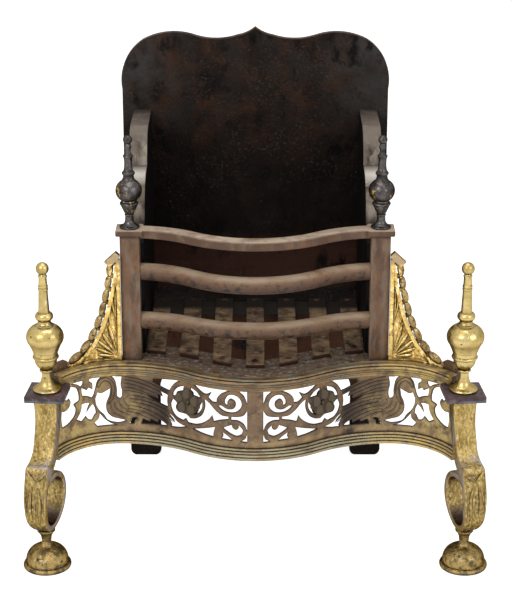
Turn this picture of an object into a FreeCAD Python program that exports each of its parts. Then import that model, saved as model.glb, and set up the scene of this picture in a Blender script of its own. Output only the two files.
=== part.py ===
import FreeCAD, Part
import math
import os

# A serpentine-fronted brass and iron fire grate. Millimetres, +Z up, the front faces -Y,
# the origin lies on the floor under the middle of the whole.
V = FreeCAD.Vector
os.makedirs("parts", exist_ok=True)

# Levels above the floor
BASE_TOP = 325.0
BASE_THICK = 14.0
CAP_THICK = 11.0
FOOT_HEIGHT = 66.0
POST_TOP = 537.0
TOP_BAR_THICK = 10.0
MIDDLE_BAR_LEVEL = 477.0
LOWER_BAR_LEVEL = 391.0
APRON_BOTTOM = 188.0
BOTTOM_MOULDING_HEIGHT = 18.0
CAP_TOP = BASE_TOP - BASE_THICK
CAP_UNDER = CAP_TOP - CAP_THICK
FRET_TOP = CAP_TOP
FRET_BOTTOM = APRON_BOTTOM + BOTTOM_MOULDING_HEIGHT

# Plan, with y counted back from the axis of the front feet before the final shift
BOW_RADIUS = 171.0
FLANK_RADIUS = 209.0
HORN_RADIUS = 113.0
BOW_ANGLE = 35.0
HORN_ANGLE = 68.0
LEDGE_ANGLE = 58.0
APRON_FRONT = 17.0
FRET_THICK = 3.2
POST_SIDE = 31.0
POST_Y = 119.0
PLATE_FRONT = 441.0
PLATE_THICK = 14.0
LEG_Y = 12.0
LEG_TURN = 18.0
LEG_SPLAY = 2.3
CAP_TURN = 5.0
CAP_SIDE = 63.0
FOOT_RADIUS = 37.5

# Fits
SLIP = 0.3
SEAT = 0.1
DISH = 0.3

# Turned pieces, rods and mouldings stay light: sides of a turned piece and of a rod, and the
# largest turn in degrees between two steps of a turned outline, a reed and a sawn window
TURNED_SIDES = 24
ROD_SIDES = 12
RIVET_SIDES = 8
ROUND_STEP = 36.0
REED_STEP = 75.0
SAW_STEP = 40.0
ROUND_SAG = 5.0

# Fastener sizes
STUD_RADIUS = 5.0
STUD_DEPTH = 22.0
BOLT_RADIUS = 4.0

BOW_CENTRE = V(0, APRON_FRONT + BOW_RADIUS, 0)
FLANK_X = (BOW_RADIUS + FLANK_RADIUS) * math.sin(math.radians(BOW_ANGLE))
FLANK_Y = BOW_CENTRE.y - (BOW_RADIUS + FLANK_RADIUS) * math.cos(math.radians(BOW_ANGLE))
HORN_Y = FLANK_Y + FLANK_RADIUS - HORN_RADIUS
POST_X = FLANK_X - 17.5
LEG_X = FLANK_X + 112.0


def box(x0, x1, y0, y1, z0, z1):
    return Part.makeBox(x1 - x0, y1 - y0, z1 - z0, V(x0, y0, z0))


def ring(radius, height, sides):
    turns = [math.tau * (i + 0.5) / sides for i in range(sides + 1)]
    return Part.makePolygon([V(radius * math.cos(t), radius * math.sin(t), height) for t in turns])


def rod(radius, start, end, sides=ROD_SIDES):
    way = end - start
    shape = Part.Face(ring(radius, 0, sides)).extrude(V(0, 0, way.Length))
    shape.Placement = FreeCAD.Placement(start, FreeCAD.Rotation(V(0, 0, 1), way))
    return shape


def joined(shapes):
    return shapes[0].multiFuse(shapes[1:]).removeSplitter() if len(shapes) > 1 else shapes[0]


# One stretch of an outline: a straight line between two points, an arc through three, a
# smooth curve through more.
def stretch_edge(run):
    if len(run) == 2:
        return Part.makeLine(*run)
    if len(run) == 3:
        return Part.Arc(*run).toShape()
    curve = Part.BSplineCurve()
    curve.interpolate(run)
    return curve.toShape()


# A closed outline. Each stretch lists the points that follow the last one.
def closed(place, start, *stretches):
    here = start
    edges = []
    for stretch in stretches:
        edges.append(stretch_edge([place(*p) for p in [here] + list(stretch)]))
        here = stretch[-1]
    if (place(*here) - place(*start)).Length > 1e-6:
        edges.append(Part.makeLine(place(*here), place(*start)))
    return Part.Face(Part.Wire(Part.__sortEdges__(edges)))


def front_view(side):
    return lambda x, z: V(side * x, 0, z)


def side_view(y, z):
    return V(0, y, z)


def plan_view(x, y):
    return V(x, y, 0)


# A front-view outline driven through the whole depth of the apron.
def through(face):
    deep = face.copy()
    deep.translate(V(0, -60, 0))
    return deep.extrude(V(0, 300, 0))


# The points of an outline with its rounds taken in straight steps that turn by an angle.
def stepped(start, stretches, step):
    points = [start]
    for stretch in stretches:
        run = [V(*p, 0) for p in [points[-1]] + list(stretch)]
        marks = run
        if len(run) > 2:
            marks = stretch_edge(run).discretize(Angular=math.radians(step), Curvature=ROUND_SAG)
        if (marks[0] - run[0]).Length > 1e-6:
            marks = marks[::-1]
        points += [(p.x, p.y) for p in marks[1:]]
    return points if math.dist(points[0], points[-1]) > 1e-6 else points[:-1]


# A turned piece: its half outline as radius and height, carried round the upright axis in flat
# sides. Its shoulders are dished a little, so that they seat on their rims.
def turned(x, y, z, start, *stretches, sides=TURNED_SIDES):
    points = stepped(start, stretches, ROUND_STEP)
    rings = [[v.Point for v in ring(max(r, 0.001), h, sides).Vertexes] for r, h in points]
    faces = [Part.Face(ring(r, h, sides)) for r, h in (points[0], points[-1]) if r > 0.01]
    for lower, upper, (r, h) in zip(rings, rings[1:], points[1:]):
        for i in range(sides):
            corners = [lower[i - 1], lower[i]] + ([upper[i], upper[i - 1]] if r > 0.01 else [V(0, 0, h)])
            faces.append(Part.Face(Part.makePolygon(corners + corners[:1])))
    solid = Part.Solid(Part.Shell(faces))
    solid.translate(V(x, y, z))
    return solid


# The ball that ends a turned piece, from the neck that carries it to its top.
def ball(neck, radius, top):
    centre = top - radius
    return [(neck, centre - math.sqrt(radius ** 2 - neck ** 2))], [(radius, centre), (0, top)]


# The serpentine front as tangent arcs from left to right, moved forward by an offset:
# horn, flank, bow, flank, horn. Each is (centre, radius, sign of the offset, start, end).
def serpentine(horn):
    left_flank = V(-FLANK_X, FLANK_Y, 0)
    right_flank = V(FLANK_X, FLANK_Y, 0)
    left_horn = V(-FLANK_X, HORN_Y, 0)
    right_horn = V(FLANK_X, HORN_Y, 0)
    return [
        (left_horn, HORN_RADIUS, -1, -horn, 0.0),
        (left_flank, FLANK_RADIUS, -1, 0.0, BOW_ANGLE),
        (BOW_CENTRE, BOW_RADIUS, 1, -BOW_ANGLE, BOW_ANGLE),
        (right_flank, FLANK_RADIUS, -1, -BOW_ANGLE, 0.0),
        (right_horn, HORN_RADIUS, -1, 0.0, horn),
    ]


def arc_point(centre, radius, sign, angle):
    t = math.radians(angle)
    return centre + V(radius * math.sin(t), -sign * radius * math.cos(t), 0)


def serpentine_edges(offset, horn):
    edges = []
    for centre, radius, sign, start, end in serpentine(horn):
        r = radius + sign * offset
        marks = [arc_point(centre, r, sign, a) for a in (start, (start + end) / 2, end)]
        edges.append(Part.Arc(*marks).toShape())
    return edges


# The upright band between two offsets of the serpentine front.
def band(back, front, z0, z1, horn):
    rear = serpentine_edges(back, horn)
    fore = serpentine_edges(front, horn)
    ends = [
        Part.makeLine(rear[0].Vertexes[0].Point, fore[0].Vertexes[0].Point),
        Part.makeLine(rear[-1].Vertexes[-1].Point, fore[-1].Vertexes[-1].Point),
    ]
    face = Part.Face(Part.Wire(Part.__sortEdges__(rear + fore + ends)))
    face.translate(V(0, 0, z0))
    return face.extrude(V(0, 0, z1 - z0))


# A moulding run along the serpentine front; its outline is given as offset and height.
def moulding(horn, start, *stretches):
    points = stepped(start, stretches, REED_STEP)
    runs = []
    for centre, radius, sign, first, last in serpentine(horn):
        t = math.radians(first)
        outward = V(math.sin(t), -sign * math.cos(t), 0) * sign

        def place(offset, height):
            return arc_point(centre, radius, sign, first) + outward * offset + V(0, 0, height)

        face = Part.Face(Part.makePolygon([place(*p) for p in points + points[:1]]))
        turn = (last - first) * sign
        runs.append(face.revolve(centre, V(0, 0, 1), turn))
    return joined([Part.Solid(r.Shells[0]) if r.ShapeType != "Solid" else r for r in runs])


# The bowed run between the posts: a half round forward in the middle and an easing bend
# at each post, as (centre, radius, sign, start, end) from left to right.
def bowed(bow):
    angle = 2 * math.degrees(math.atan2(bow, POST_X))
    radius = POST_X / (2 * math.sin(math.radians(angle)))
    middle = V(0, POST_Y - bow + radius, 0)
    left = V(-POST_X, POST_Y - radius, 0)
    right = V(POST_X, POST_Y - radius, 0)
    return [
        (left, radius, -1, 0.0, angle),
        (middle, radius, 1, -angle, angle),
        (right, radius, -1, -angle, 0.0),
    ]


# Back plate: one iron casting with shaped shoulders that stands on two feet of its own.
PLATE_HALF = POST_X + 29.0
PLATE_FOOT = 56.0
PLATE_ARCH = 178.0
PLATE_TOP = 800.0
ARCH_CORNER = 45.0
FOOT_CHAMFER = 9.0
PLATE_BOLT_LEVELS = (380.0, 600.0)
CHEEK_INNER = POST_X - 20.5
CHEEK_OUTER = POST_X + 9.5


def plate_half(side):
    inner = PLATE_HALF - PLATE_FOOT
    bend = ARCH_CORNER * (1 - math.sqrt(0.5))
    return closed(
        front_view(side),
        (0, PLATE_ARCH),
        [(inner - ARCH_CORNER, PLATE_ARCH)],
        [(inner - bend, PLATE_ARCH - bend), (inner, PLATE_ARCH - ARCH_CORNER)],
        [(inner, 1.6 * FOOT_CHAMFER)],
        [(inner + 0.3 * FOOT_CHAMFER, 0.5 * FOOT_CHAMFER), (inner + FOOT_CHAMFER, 0)],
        [(PLATE_HALF - FOOT_CHAMFER, 0)],
        [(PLATE_HALF - 0.3 * FOOT_CHAMFER, 0.5 * FOOT_CHAMFER), (PLATE_HALF, 1.6 * FOOT_CHAMFER)],
        [(PLATE_HALF, PLATE_TOP - 107)],
        [(PLATE_HALF - 10, PLATE_TOP - 50), (PLATE_HALF - 38, PLATE_TOP - 21)],
        [(152, PLATE_TOP - 9), (101, PLATE_TOP - 15)],
        [(65, PLATE_TOP - 20), (30, PLATE_TOP - 14)],
        [(14, PLATE_TOP - 9), (0, PLATE_TOP)],
    )


plate = joined([plate_half(s).extrude(V(0, PLATE_THICK, 0)) for s in (-1, 1)])
plate.translate(V(0, PLATE_FRONT, 0))
CHEEK_BOLT_X = (CHEEK_INNER + CHEEK_OUTER) / 2
plate_bolt_spots = [(s * CHEEK_BOLT_X, z) for s in (-1, 1) for z in PLATE_BOLT_LEVELS]
BRACKET_X = POST_X - 4.5
BRACKET_DROP = 42.0
BRACKET_THICK = 6.0
BRACKET_REACH = 40.0
BRACKET_WIDTH = 28.0
bracket_bolt_level = CAP_TOP - BRACKET_DROP / 2 - 4
plate_bolt_spots += [(s * BRACKET_X, bracket_bolt_level) for s in (-1, 1)]
for x, z in plate_bolt_spots:
    start = V(x, PLATE_FRONT - 1, z)
    plate = plate.cut(rod(BOLT_RADIUS + SLIP, start, start + V(0, PLATE_THICK + 2, 0)))

# Bolts from behind the plate into the cheeks and the rail brackets, with square heads.
BOLT_HEAD = 13.0
BOLT_HEAD_THICK = 6.0
BOLT_GRIP = 6.0
bolts = []
for x, z in plate_bolt_spots:
    back = V(x, PLATE_FRONT + PLATE_THICK, z)
    half = BOLT_HEAD / 2
    head = box(x - half, x + half, back.y, back.y + BOLT_HEAD_THICK, z - half, z + half)
    bolts.append(head.fuse(rod(BOLT_RADIUS, back, back - V(0, PLATE_THICK + BOLT_GRIP, 0))))

# Cheeks: iron side castings, a plate towards the fire with a rim all round outside it.
# The top edge falls forward in two quarter rounds with a ledge between them.
CHEEK_WALL = 10.0
CHEEK_RIM = 9.0
CHEEK_TOP = 657.0
CHEEK_UPPER_ROUND = 58.0
CHEEK_LOWER_ROUND = 72.0
CHEEK_LEDGE = 603.0
CHEEK_FOOTING = 515.0
CHEEK_STEP_Y = 280.0
CHEEK_LOWER_Y = 180.0
POST_BACK = POST_Y + POST_SIDE / 2


def cheek_outline(inset):
    t = inset
    root = math.sqrt(0.5)
    upper = CHEEK_UPPER_ROUND - t
    lower = CHEEK_LOWER_ROUND - t
    upper_y = CHEEK_STEP_Y + CHEEK_UPPER_ROUND
    upper_z = CHEEK_TOP - CHEEK_UPPER_ROUND
    lower_y = CHEEK_LOWER_Y + CHEEK_LOWER_ROUND
    lower_z = CHEEK_LEDGE - CHEEK_LOWER_ROUND
    return closed(
        side_view,
        (PLATE_FRONT - t, BASE_TOP + t),
        [(PLATE_FRONT - t, CHEEK_TOP - t)],
        [(upper_y, CHEEK_TOP - t)],
        [(upper_y - root * upper, upper_z + root * upper), (upper_y - upper, upper_z)],
        [(CHEEK_STEP_Y + t, CHEEK_LEDGE - t)],
        [(lower_y, CHEEK_LEDGE - t)],
        [(lower_y - root * lower, lower_z + root * lower), (lower_y - lower, lower_z)],
        [(CHEEK_LOWER_Y + t, CHEEK_FOOTING - t)],
        [(POST_BACK + t, CHEEK_FOOTING - t)],
        [(POST_BACK + t, BASE_TOP + t)],
    )


def cheek(side):
    casting = cheek_outline(0).extrude(V(CHEEK_OUTER - CHEEK_INNER, 0, 0))
    hollow = cheek_outline(CHEEK_RIM).extrude(V(CHEEK_OUTER, 0, 0))
    hollow.translate(V(CHEEK_WALL, 0, 0))
    casting = casting.cut(hollow)
    casting.translate(V(CHEEK_INNER, 0, 0))
    for z in PLATE_BOLT_LEVELS:
        start = V(CHEEK_BOLT_X, PLATE_FRONT + 1, z)
        casting = casting.cut(rod(BOLT_RADIUS + SLIP, start, start - V(0, BOLT_GRIP + 1.5, 0)))
    return casting if side > 0 else casting.mirror(V(0, 0, 0), V(1, 0, 0))


# Base plate: the serpentine iron plate that carries posts, cheeks and fire bars, with two
# side rails running back to the plate.
LEDGE_DEPTH = 30.0
LANDING_DEPTH = 88.0
RAIL_INNER = POST_X - 24.5
RAIL_OUTER = POST_X + 17.5
base = joined([
    band(-LEDGE_DEPTH, 0, CAP_TOP, BASE_TOP, LEDGE_ANGLE),
    band(-LANDING_DEPTH, 0, CAP_TOP, BASE_TOP, 1.0).common(
        box(-RAIL_OUTER, RAIL_OUTER, -60, 240, CAP_TOP, BASE_TOP)),
    box(-RAIL_OUTER, -RAIL_INNER, POST_Y, PLATE_FRONT, CAP_TOP, BASE_TOP),
    box(RAIL_INNER, RAIL_OUTER, POST_Y, PLATE_FRONT, CAP_TOP, BASE_TOP),
])

# Posts: square iron uprights with a shouldered stud below and bored for bars and finial.
PAD_SIDE_X = 44.0
PAD_SIDE_Y = 41.0
TENON_RADIUS = 9.0
TENON_LENGTH = 9.0
POST_STUD = 6.0
NUT_THICK = 8.0
NUT_SIDE = 19.0
PAD_TOP = POST_TOP + TOP_BAR_THICK


def post(side):
    x = side * POST_X
    half = POST_SIDE / 2
    body = box(x - half, x + half, POST_Y - half, POST_Y + half, BASE_TOP, POST_TOP)
    floor = V(x, POST_Y, BASE_TOP)
    body = body.fuse(rod(POST_STUD, floor, floor - V(0, 0, BASE_THICK + NUT_THICK + 2)))
    top = V(x, POST_Y, POST_TOP)
    body = body.cut(rod(STUD_RADIUS + SLIP, top, top - V(0, 0, STUD_DEPTH)))
    for level in (MIDDLE_BAR_LEVEL, LOWER_BAR_LEVEL):
        inner = V(x - side * half, POST_Y, level)
        into = V(side * (TENON_LENGTH + 1), 0, 0)
        body = body.cut(rod(TENON_RADIUS + SLIP, inner, inner + into))
    return body


nuts = []
for side in (-1, 1):
    foot = V(side * POST_X, POST_Y, BASE_TOP)
    through_base = rod(POST_STUD + SLIP, foot, foot - V(0, 0, BASE_THICK + NUT_THICK))
    base = base.cut(through_base)
    half = NUT_SIDE / 2
    nut = box(foot.x - half, foot.x + half, foot.y - half, foot.y + half, CAP_TOP - NUT_THICK, CAP_TOP)
    nuts.append(nut.cut(rod(POST_STUD + SEAT, foot, foot - V(0, 0, BASE_THICK + NUT_THICK))))

# Top bar: a flat bowed bar forged out to a square pad over each post.
TOP_BOW = 66.0
TOP_BAR_WIDTH = 25.0


def bowed_edges(bow, offset):
    edges = []
    for centre, radius, sign, start, end in bowed(bow):
        r = radius + sign * offset
        marks = [arc_point(centre, r, sign, a) for a in (start, (start + end) / 2, end)]
        edges.append(Part.Arc(*marks).toShape())
    return edges


fore = bowed_edges(TOP_BOW, TOP_BAR_WIDTH / 2)
rear = bowed_edges(TOP_BOW, -TOP_BAR_WIDTH / 2)
ends = [
    Part.makeLine(rear[0].Vertexes[0].Point, fore[0].Vertexes[0].Point),
    Part.makeLine(rear[-1].Vertexes[-1].Point, fore[-1].Vertexes[-1].Point),
]
strip = Part.Face(Part.Wire(Part.__sortEdges__(fore + rear + ends)))
strip.translate(V(0, 0, POST_TOP))
top_bar = strip.extrude(V(0, 0, TOP_BAR_THICK))
for side in (-1, 1):
    x = side * POST_X
    pad = box(x - PAD_SIDE_X / 2, x + PAD_SIDE_X / 2, POST_Y - PAD_SIDE_Y / 2,
              POST_Y + PAD_SIDE_Y / 2, POST_TOP, PAD_TOP)
    top_bar = top_bar.fuse(pad)
    under = V(x, POST_Y, POST_TOP)
    top_bar = top_bar.cut(rod(STUD_RADIUS + SLIP, under, under + V(0, 0, TOP_BAR_THICK)))
top_bar = top_bar.removeSplitter()

# Round bars: bowed rods whose shouldered tenons enter the posts.
ROUND_RADIUS = 12.0
ROUND_SIDES = 12
MIDDLE_BOW = 70.0
LOWER_BOW = 52.0


def round_bar(bow, level):
    runs = []
    for centre, radius, sign, start, end in bowed(bow):
        t = math.radians(start)
        outward = V(math.sin(t), -sign * math.cos(t), 0)
        hub = arc_point(centre, radius, sign, start) + V(0, 0, level)
        turns = [math.tau * i / ROUND_SIDES for i in range(ROUND_SIDES + 1)]
        rim = [hub + (outward * math.cos(a) + V(0, 0, math.sin(a))) * ROUND_RADIUS for a in turns]
        section = Part.Face(Part.makePolygon(rim))
        runs.append(section.revolve(centre, V(0, 0, 1), (end - start) * sign))
    bar = joined([Part.Solid(r.Shells[0]) if r.ShapeType != "Solid" else r for r in runs])
    reach = POST_X - POST_SIDE / 2
    bar = bar.common(box(-reach, reach, -100, 300, level - 50, level + 50))
    for side in (-1, 1):
        shoulder = V(side * (reach - 1), POST_Y, level)
        bar = bar.fuse(rod(TENON_RADIUS, shoulder, shoulder + V(side * (TENON_LENGTH + 1), 0, 0)))
    return bar


# Iron finials: turned, with a stud through the pad into the post.
IRON_BALL = 7.2
IRON_FINIAL_HEIGHT = 152.0


def iron_finial(side):
    return turned(
        side * POST_X, POST_Y, PAD_TOP,
        (STUD_RADIUS, -TOP_BAR_THICK - STUD_DEPTH + 2),
        [(STUD_RADIUS, DISH)],
        [(15.6, 0)],
        [(16.2, 3.0)],
        [(9.2, 9.0), (7.6, 22.0)],
        [(9.2, 23.6)],
        [(7.8, 25.4)],
        [(13.8, 40.5)],
        [(15.0, 42.8)],
        [(13.6, 47.5)],
        [(21.4, 64.5), (12.0, 80.5)],
        [(7.6, 86.0)],
        [(11.4, 91.0)],
        [(7.2, 95.4)],
        [(5.4, 113.0)],
        [(8.9, 118.6)],
        [(5.0, 127.0)],
        [(6.6, 133.0)],
        *ball(4.4, IRON_BALL, IRON_FINIAL_HEIGHT),
    )


# Fire bars: seven flat bars, front ends cut back along the serpentine, riveted at both ends.
FIRE_BAR_COUNT = 7
FIRE_BAR_WIDTH = 30.0
FIRE_BAR_SIDE_GAP = 2.959
FIRE_BAR_PITCH = (CHEEK_INNER - FIRE_BAR_SIDE_GAP - FIRE_BAR_WIDTH / 2) * 2 / (FIRE_BAR_COUNT - 1)
FIRE_BAR_THICK = 7.0
FIRE_BAR_SETBACK = 50.0
BEARER_FRONT = 352.0
BEARER_DEPTH = 26.0
FIRE_BAR_REAR = BEARER_FRONT + BEARER_DEPTH
RIVET_RADIUS = 3.5
RIVET_HEAD = 5.5
RIVET_RISE = 2.0
RIVET_INSET = 15.0


def serpentine_y(x, offset):
    x = abs(x)
    if x <= (BOW_RADIUS + offset) * math.sin(math.radians(BOW_ANGLE)):
        return BOW_CENTRE.y - math.sqrt((BOW_RADIUS + offset) ** 2 - x ** 2)
    if x <= FLANK_X:
        return FLANK_Y + math.sqrt((FLANK_RADIUS - offset) ** 2 - (x - FLANK_X) ** 2)
    return HORN_Y + math.sqrt((HORN_RADIUS - offset) ** 2 - (x - FLANK_X) ** 2)


bearer = box(-RAIL_INNER, RAIL_INNER, BEARER_FRONT, BEARER_FRONT + BEARER_DEPTH, CAP_TOP, BASE_TOP)
fore_part = band(-FIRE_BAR_SETBACK, LEDGE_DEPTH, BASE_TOP, BASE_TOP + FIRE_BAR_THICK, 1.0)
fire_bars = []
rivets = []
for i in range(FIRE_BAR_COUNT):
    x = (i - (FIRE_BAR_COUNT - 1) / 2) * FIRE_BAR_PITCH
    tip = serpentine_y(x, -FIRE_BAR_SETBACK)
    bar = box(x - FIRE_BAR_WIDTH / 2, x + FIRE_BAR_WIDTH / 2, tip - LEDGE_DEPTH, FIRE_BAR_REAR,
              BASE_TOP, BASE_TOP + FIRE_BAR_THICK).cut(fore_part)
    for y in (tip + RIVET_INSET, BEARER_FRONT + BEARER_DEPTH / 2):
        seat = V(x, y, BASE_TOP + FIRE_BAR_THICK)
        tail = V(x, y, CAP_TOP)
        hole = rod(RIVET_RADIUS + SEAT, tail, seat, RIVET_SIDES)
        bar = bar.cut(hole)
        if y < BEARER_FRONT:
            base = base.cut(hole)
        else:
            bearer = bearer.cut(hole)
        head = rod(RIVET_HEAD, seat, seat + V(0, 0, RIVET_RISE), RIVET_SIDES)
        rim = [e for e in head.Edges if e.BoundBox.ZMin > seat.z + RIVET_RISE - 0.01]
        head = head.makeChamfer(RIVET_RISE * 0.7, rim)
        rivets.append(head.fuse(rod(RIVET_RADIUS, tail, seat, RIVET_SIDES)))
    fire_bars.append(bar)

# Rail brackets: iron angles under the rails, bolted to the back plate.
brackets = []
for side in (-1, 1):
    x0 = side * BRACKET_X - BRACKET_WIDTH / 2
    x1 = x0 + BRACKET_WIDTH
    upright = box(x0, x1, PLATE_FRONT - BRACKET_THICK, PLATE_FRONT, CAP_TOP - BRACKET_DROP, CAP_TOP)
    shelf = box(x0, x1, PLATE_FRONT - BRACKET_REACH, PLATE_FRONT, CAP_TOP - BRACKET_THICK, CAP_TOP)
    angle = upright.fuse(shelf).removeSplitter()
    start = V(side * BRACKET_X, PLATE_FRONT + 1, bracket_bolt_level)
    brackets.append(angle.cut(rod(BOLT_RADIUS + SEAT, start, start - V(0, BRACKET_THICK + 2, 0))))

# Legs: brass straps that swing forward to a knee and curl into a closed ring. The side
# outline is cut to the width of the front outline and to the taper of the plan outline.
LEG_TOP_FRONT = 13.0
LEG_TOP_BACK = -8.0
FOOT_U = 5.0
RING_U = -0.5
RING_OUTER = 50.0
RING_INNER = 39.5
RING_LEVEL = FOOT_HEIGHT + RING_OUTER
LEG_HALF_TOP = 20.0


def leg_frame(shape, side):
    moved = shape.copy()
    moved.rotate(V(0, 0, CAP_UNDER), V(0, 1, 0), -side * LEG_SPLAY)
    moved.rotate(V(0, 0, 0), V(0, 0, 1), side * LEG_TURN)
    moved.translate(V(side * LEG_X, LEG_Y, 0))
    return moved


def leg_blank():
    tall = CAP_UNDER + 6
    strap = closed(
        lambda u, z: V(0, -u, z),
        (LEG_TOP_FRONT, tall),
        [(8, 256), (15, 224)],
        [(23, 204), (41, 193)],
        [(45, 190), (46, 184)],
        [(50, 150), (RING_U + RING_OUTER, RING_LEVEL)],
        [(RING_U + RING_INNER, RING_LEVEL)],
        [(41, 150), (22, 176)],
        [(1, 197), (-6, 224)],
        [(-12, 260), (LEG_TOP_BACK, tall)],
    ).extrude(V(60, 0, 0))
    strap.translate(V(-30, 0, 0))
    hub = V(-30, -RING_U, RING_LEVEL)
    curl = Part.makeCylinder(RING_OUTER, 60, hub, V(1, 0, 0))
    hole = Part.makeCylinder(RING_INNER, 60, hub, V(1, 0, 0))
    side_shape = strap.fuse(curl).cut(hole)
    front = closed(
        lambda w, z: V(w, 0, z),
        (LEG_HALF_TOP, tall),
        [(18.2, 250), (17.6, 202)],
        [(19.0, 186)],
        [(19.5, 140), (12.5, 88)],
        [(9.4, 76), (8.2, 62)],
        [(-8.2, 62)],
        [(-9.4, 76), (-12.5, 88)],
        [(-19.5, 140), (-19.0, 186)],
        [(-17.6, 202)],
        [(-18.2, 250), (-LEG_HALF_TOP, tall)],
    )
    front.translate(V(0, -80, 0))
    plan = closed(
        plan_view,
        (-25, -80),
        [(25, -80)],
        [(25, -8)],
        [(12, RING_OUTER)],
        [(-12, RING_OUTER)],
        [(-25, -8)],
    )
    solid = side_shape.common(front.extrude(V(0, 160, 0)))
    return solid.common(plan.extrude(V(0, 0, 400)))


def foot_axis(side):
    probe = Part.Vertex(V(0, -FOOT_U, FOOT_HEIGHT))
    return leg_frame(probe, side).Point


def leg(side):
    shape = leg_frame(leg_blank(), side)
    shape = shape.cut(box(-500, 500, -300, 300, CAP_UNDER, 500))
    seat = foot_axis(side)
    shape = shape.cut(box(-500, 500, -300, 300, -10, FOOT_HEIGHT + 1.0))
    below = V(seat.x, seat.y, FOOT_HEIGHT)
    shape = shape.cut(rod(STUD_RADIUS + SLIP, below, below + V(0, 0, 12)))
    top = V(side * LEG_X, LEG_Y, CAP_UNDER)
    return shape.cut(rod(STUD_RADIUS + SLIP, top, top - V(0, 0, STUD_DEPTH)))


# Feet: turned brass domes on a flat rim with a waisted neck and a stud into the leg.
def foot(side):
    seat = foot_axis(side)
    return turned(
        seat.x, seat.y, 0,
        (FOOT_RADIUS - 1.5, 0),
        [(FOOT_RADIUS, 4.0)],
        [(FOOT_RADIUS - 1.5, 8.0)],
        [(FOOT_RADIUS - 3.0, 9.0)],
        [(31.0, 24.5), (14.0, 38.0)],
        [(9.2, 42.0), (8.0, 48.0)],
        [(8.6, 56.0), (12.5, FOOT_HEIGHT + 1.0)],
        [(STUD_RADIUS, FOOT_HEIGHT + 1.0 - DISH)],
        [(STUD_RADIUS, FOOT_HEIGHT + 11.0)],
    )


# Leg caps: square iron plates between the legs and the brass finials.
def leg_cap(side):
    half = CAP_SIDE / 2
    plate_cap = box(-half, half, -half, half, CAP_UNDER, CAP_TOP)
    plate_cap = plate_cap.cut(rod(STUD_RADIUS + SLIP, V(0, 0, CAP_UNDER), V(0, 0, CAP_TOP)))
    plate_cap.rotate(V(0, 0, 0), V(0, 0, 1), side * CAP_TURN)
    plate_cap.translate(V(side * LEG_X, LEG_Y, 0))
    return plate_cap


# Brass finials: turned urns with a spire and ball, screwed down through the caps.
FINIAL_BASE = 23.4
BRASS_BALL = 10.2
BRASS_FINIAL_HEIGHT = 214.0


def brass_finial(side):
    return turned(
        side * LEG_X, LEG_Y, CAP_TOP,
        (STUD_RADIUS, -CAP_THICK - STUD_DEPTH + 2),
        [(STUD_RADIUS, DISH)],
        [(FINIAL_BASE - 0.8, 0)],
        [(FINIAL_BASE, 3.4)],
        [(FINIAL_BASE - 2.0, 4.8)],
        [(FINIAL_BASE - 3.4, 8.6)],
        [(11.0, 15.0), (8.2, 26.0)],
        [(7.8, 38.0)],
        [(10.0, 40.4)],
        [(8.2, 42.8)],
        [(17.0, 52.0), (20.4, 63.0)],
        [(20.0, 75.5)],
        [(29.6, 93.5), (17.6, 113.5)],
        [(12.0, 120.0)],
        [(9.0, 123.6)],
        [(13.8, 126.0)],
        [(13.8, 131.8)],
        [(8.9, 134.6)],
        [(6.4, 192.4)],
        *ball(6.0, BRASS_BALL, BRASS_FINIAL_HEIGHT),
    )


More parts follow.
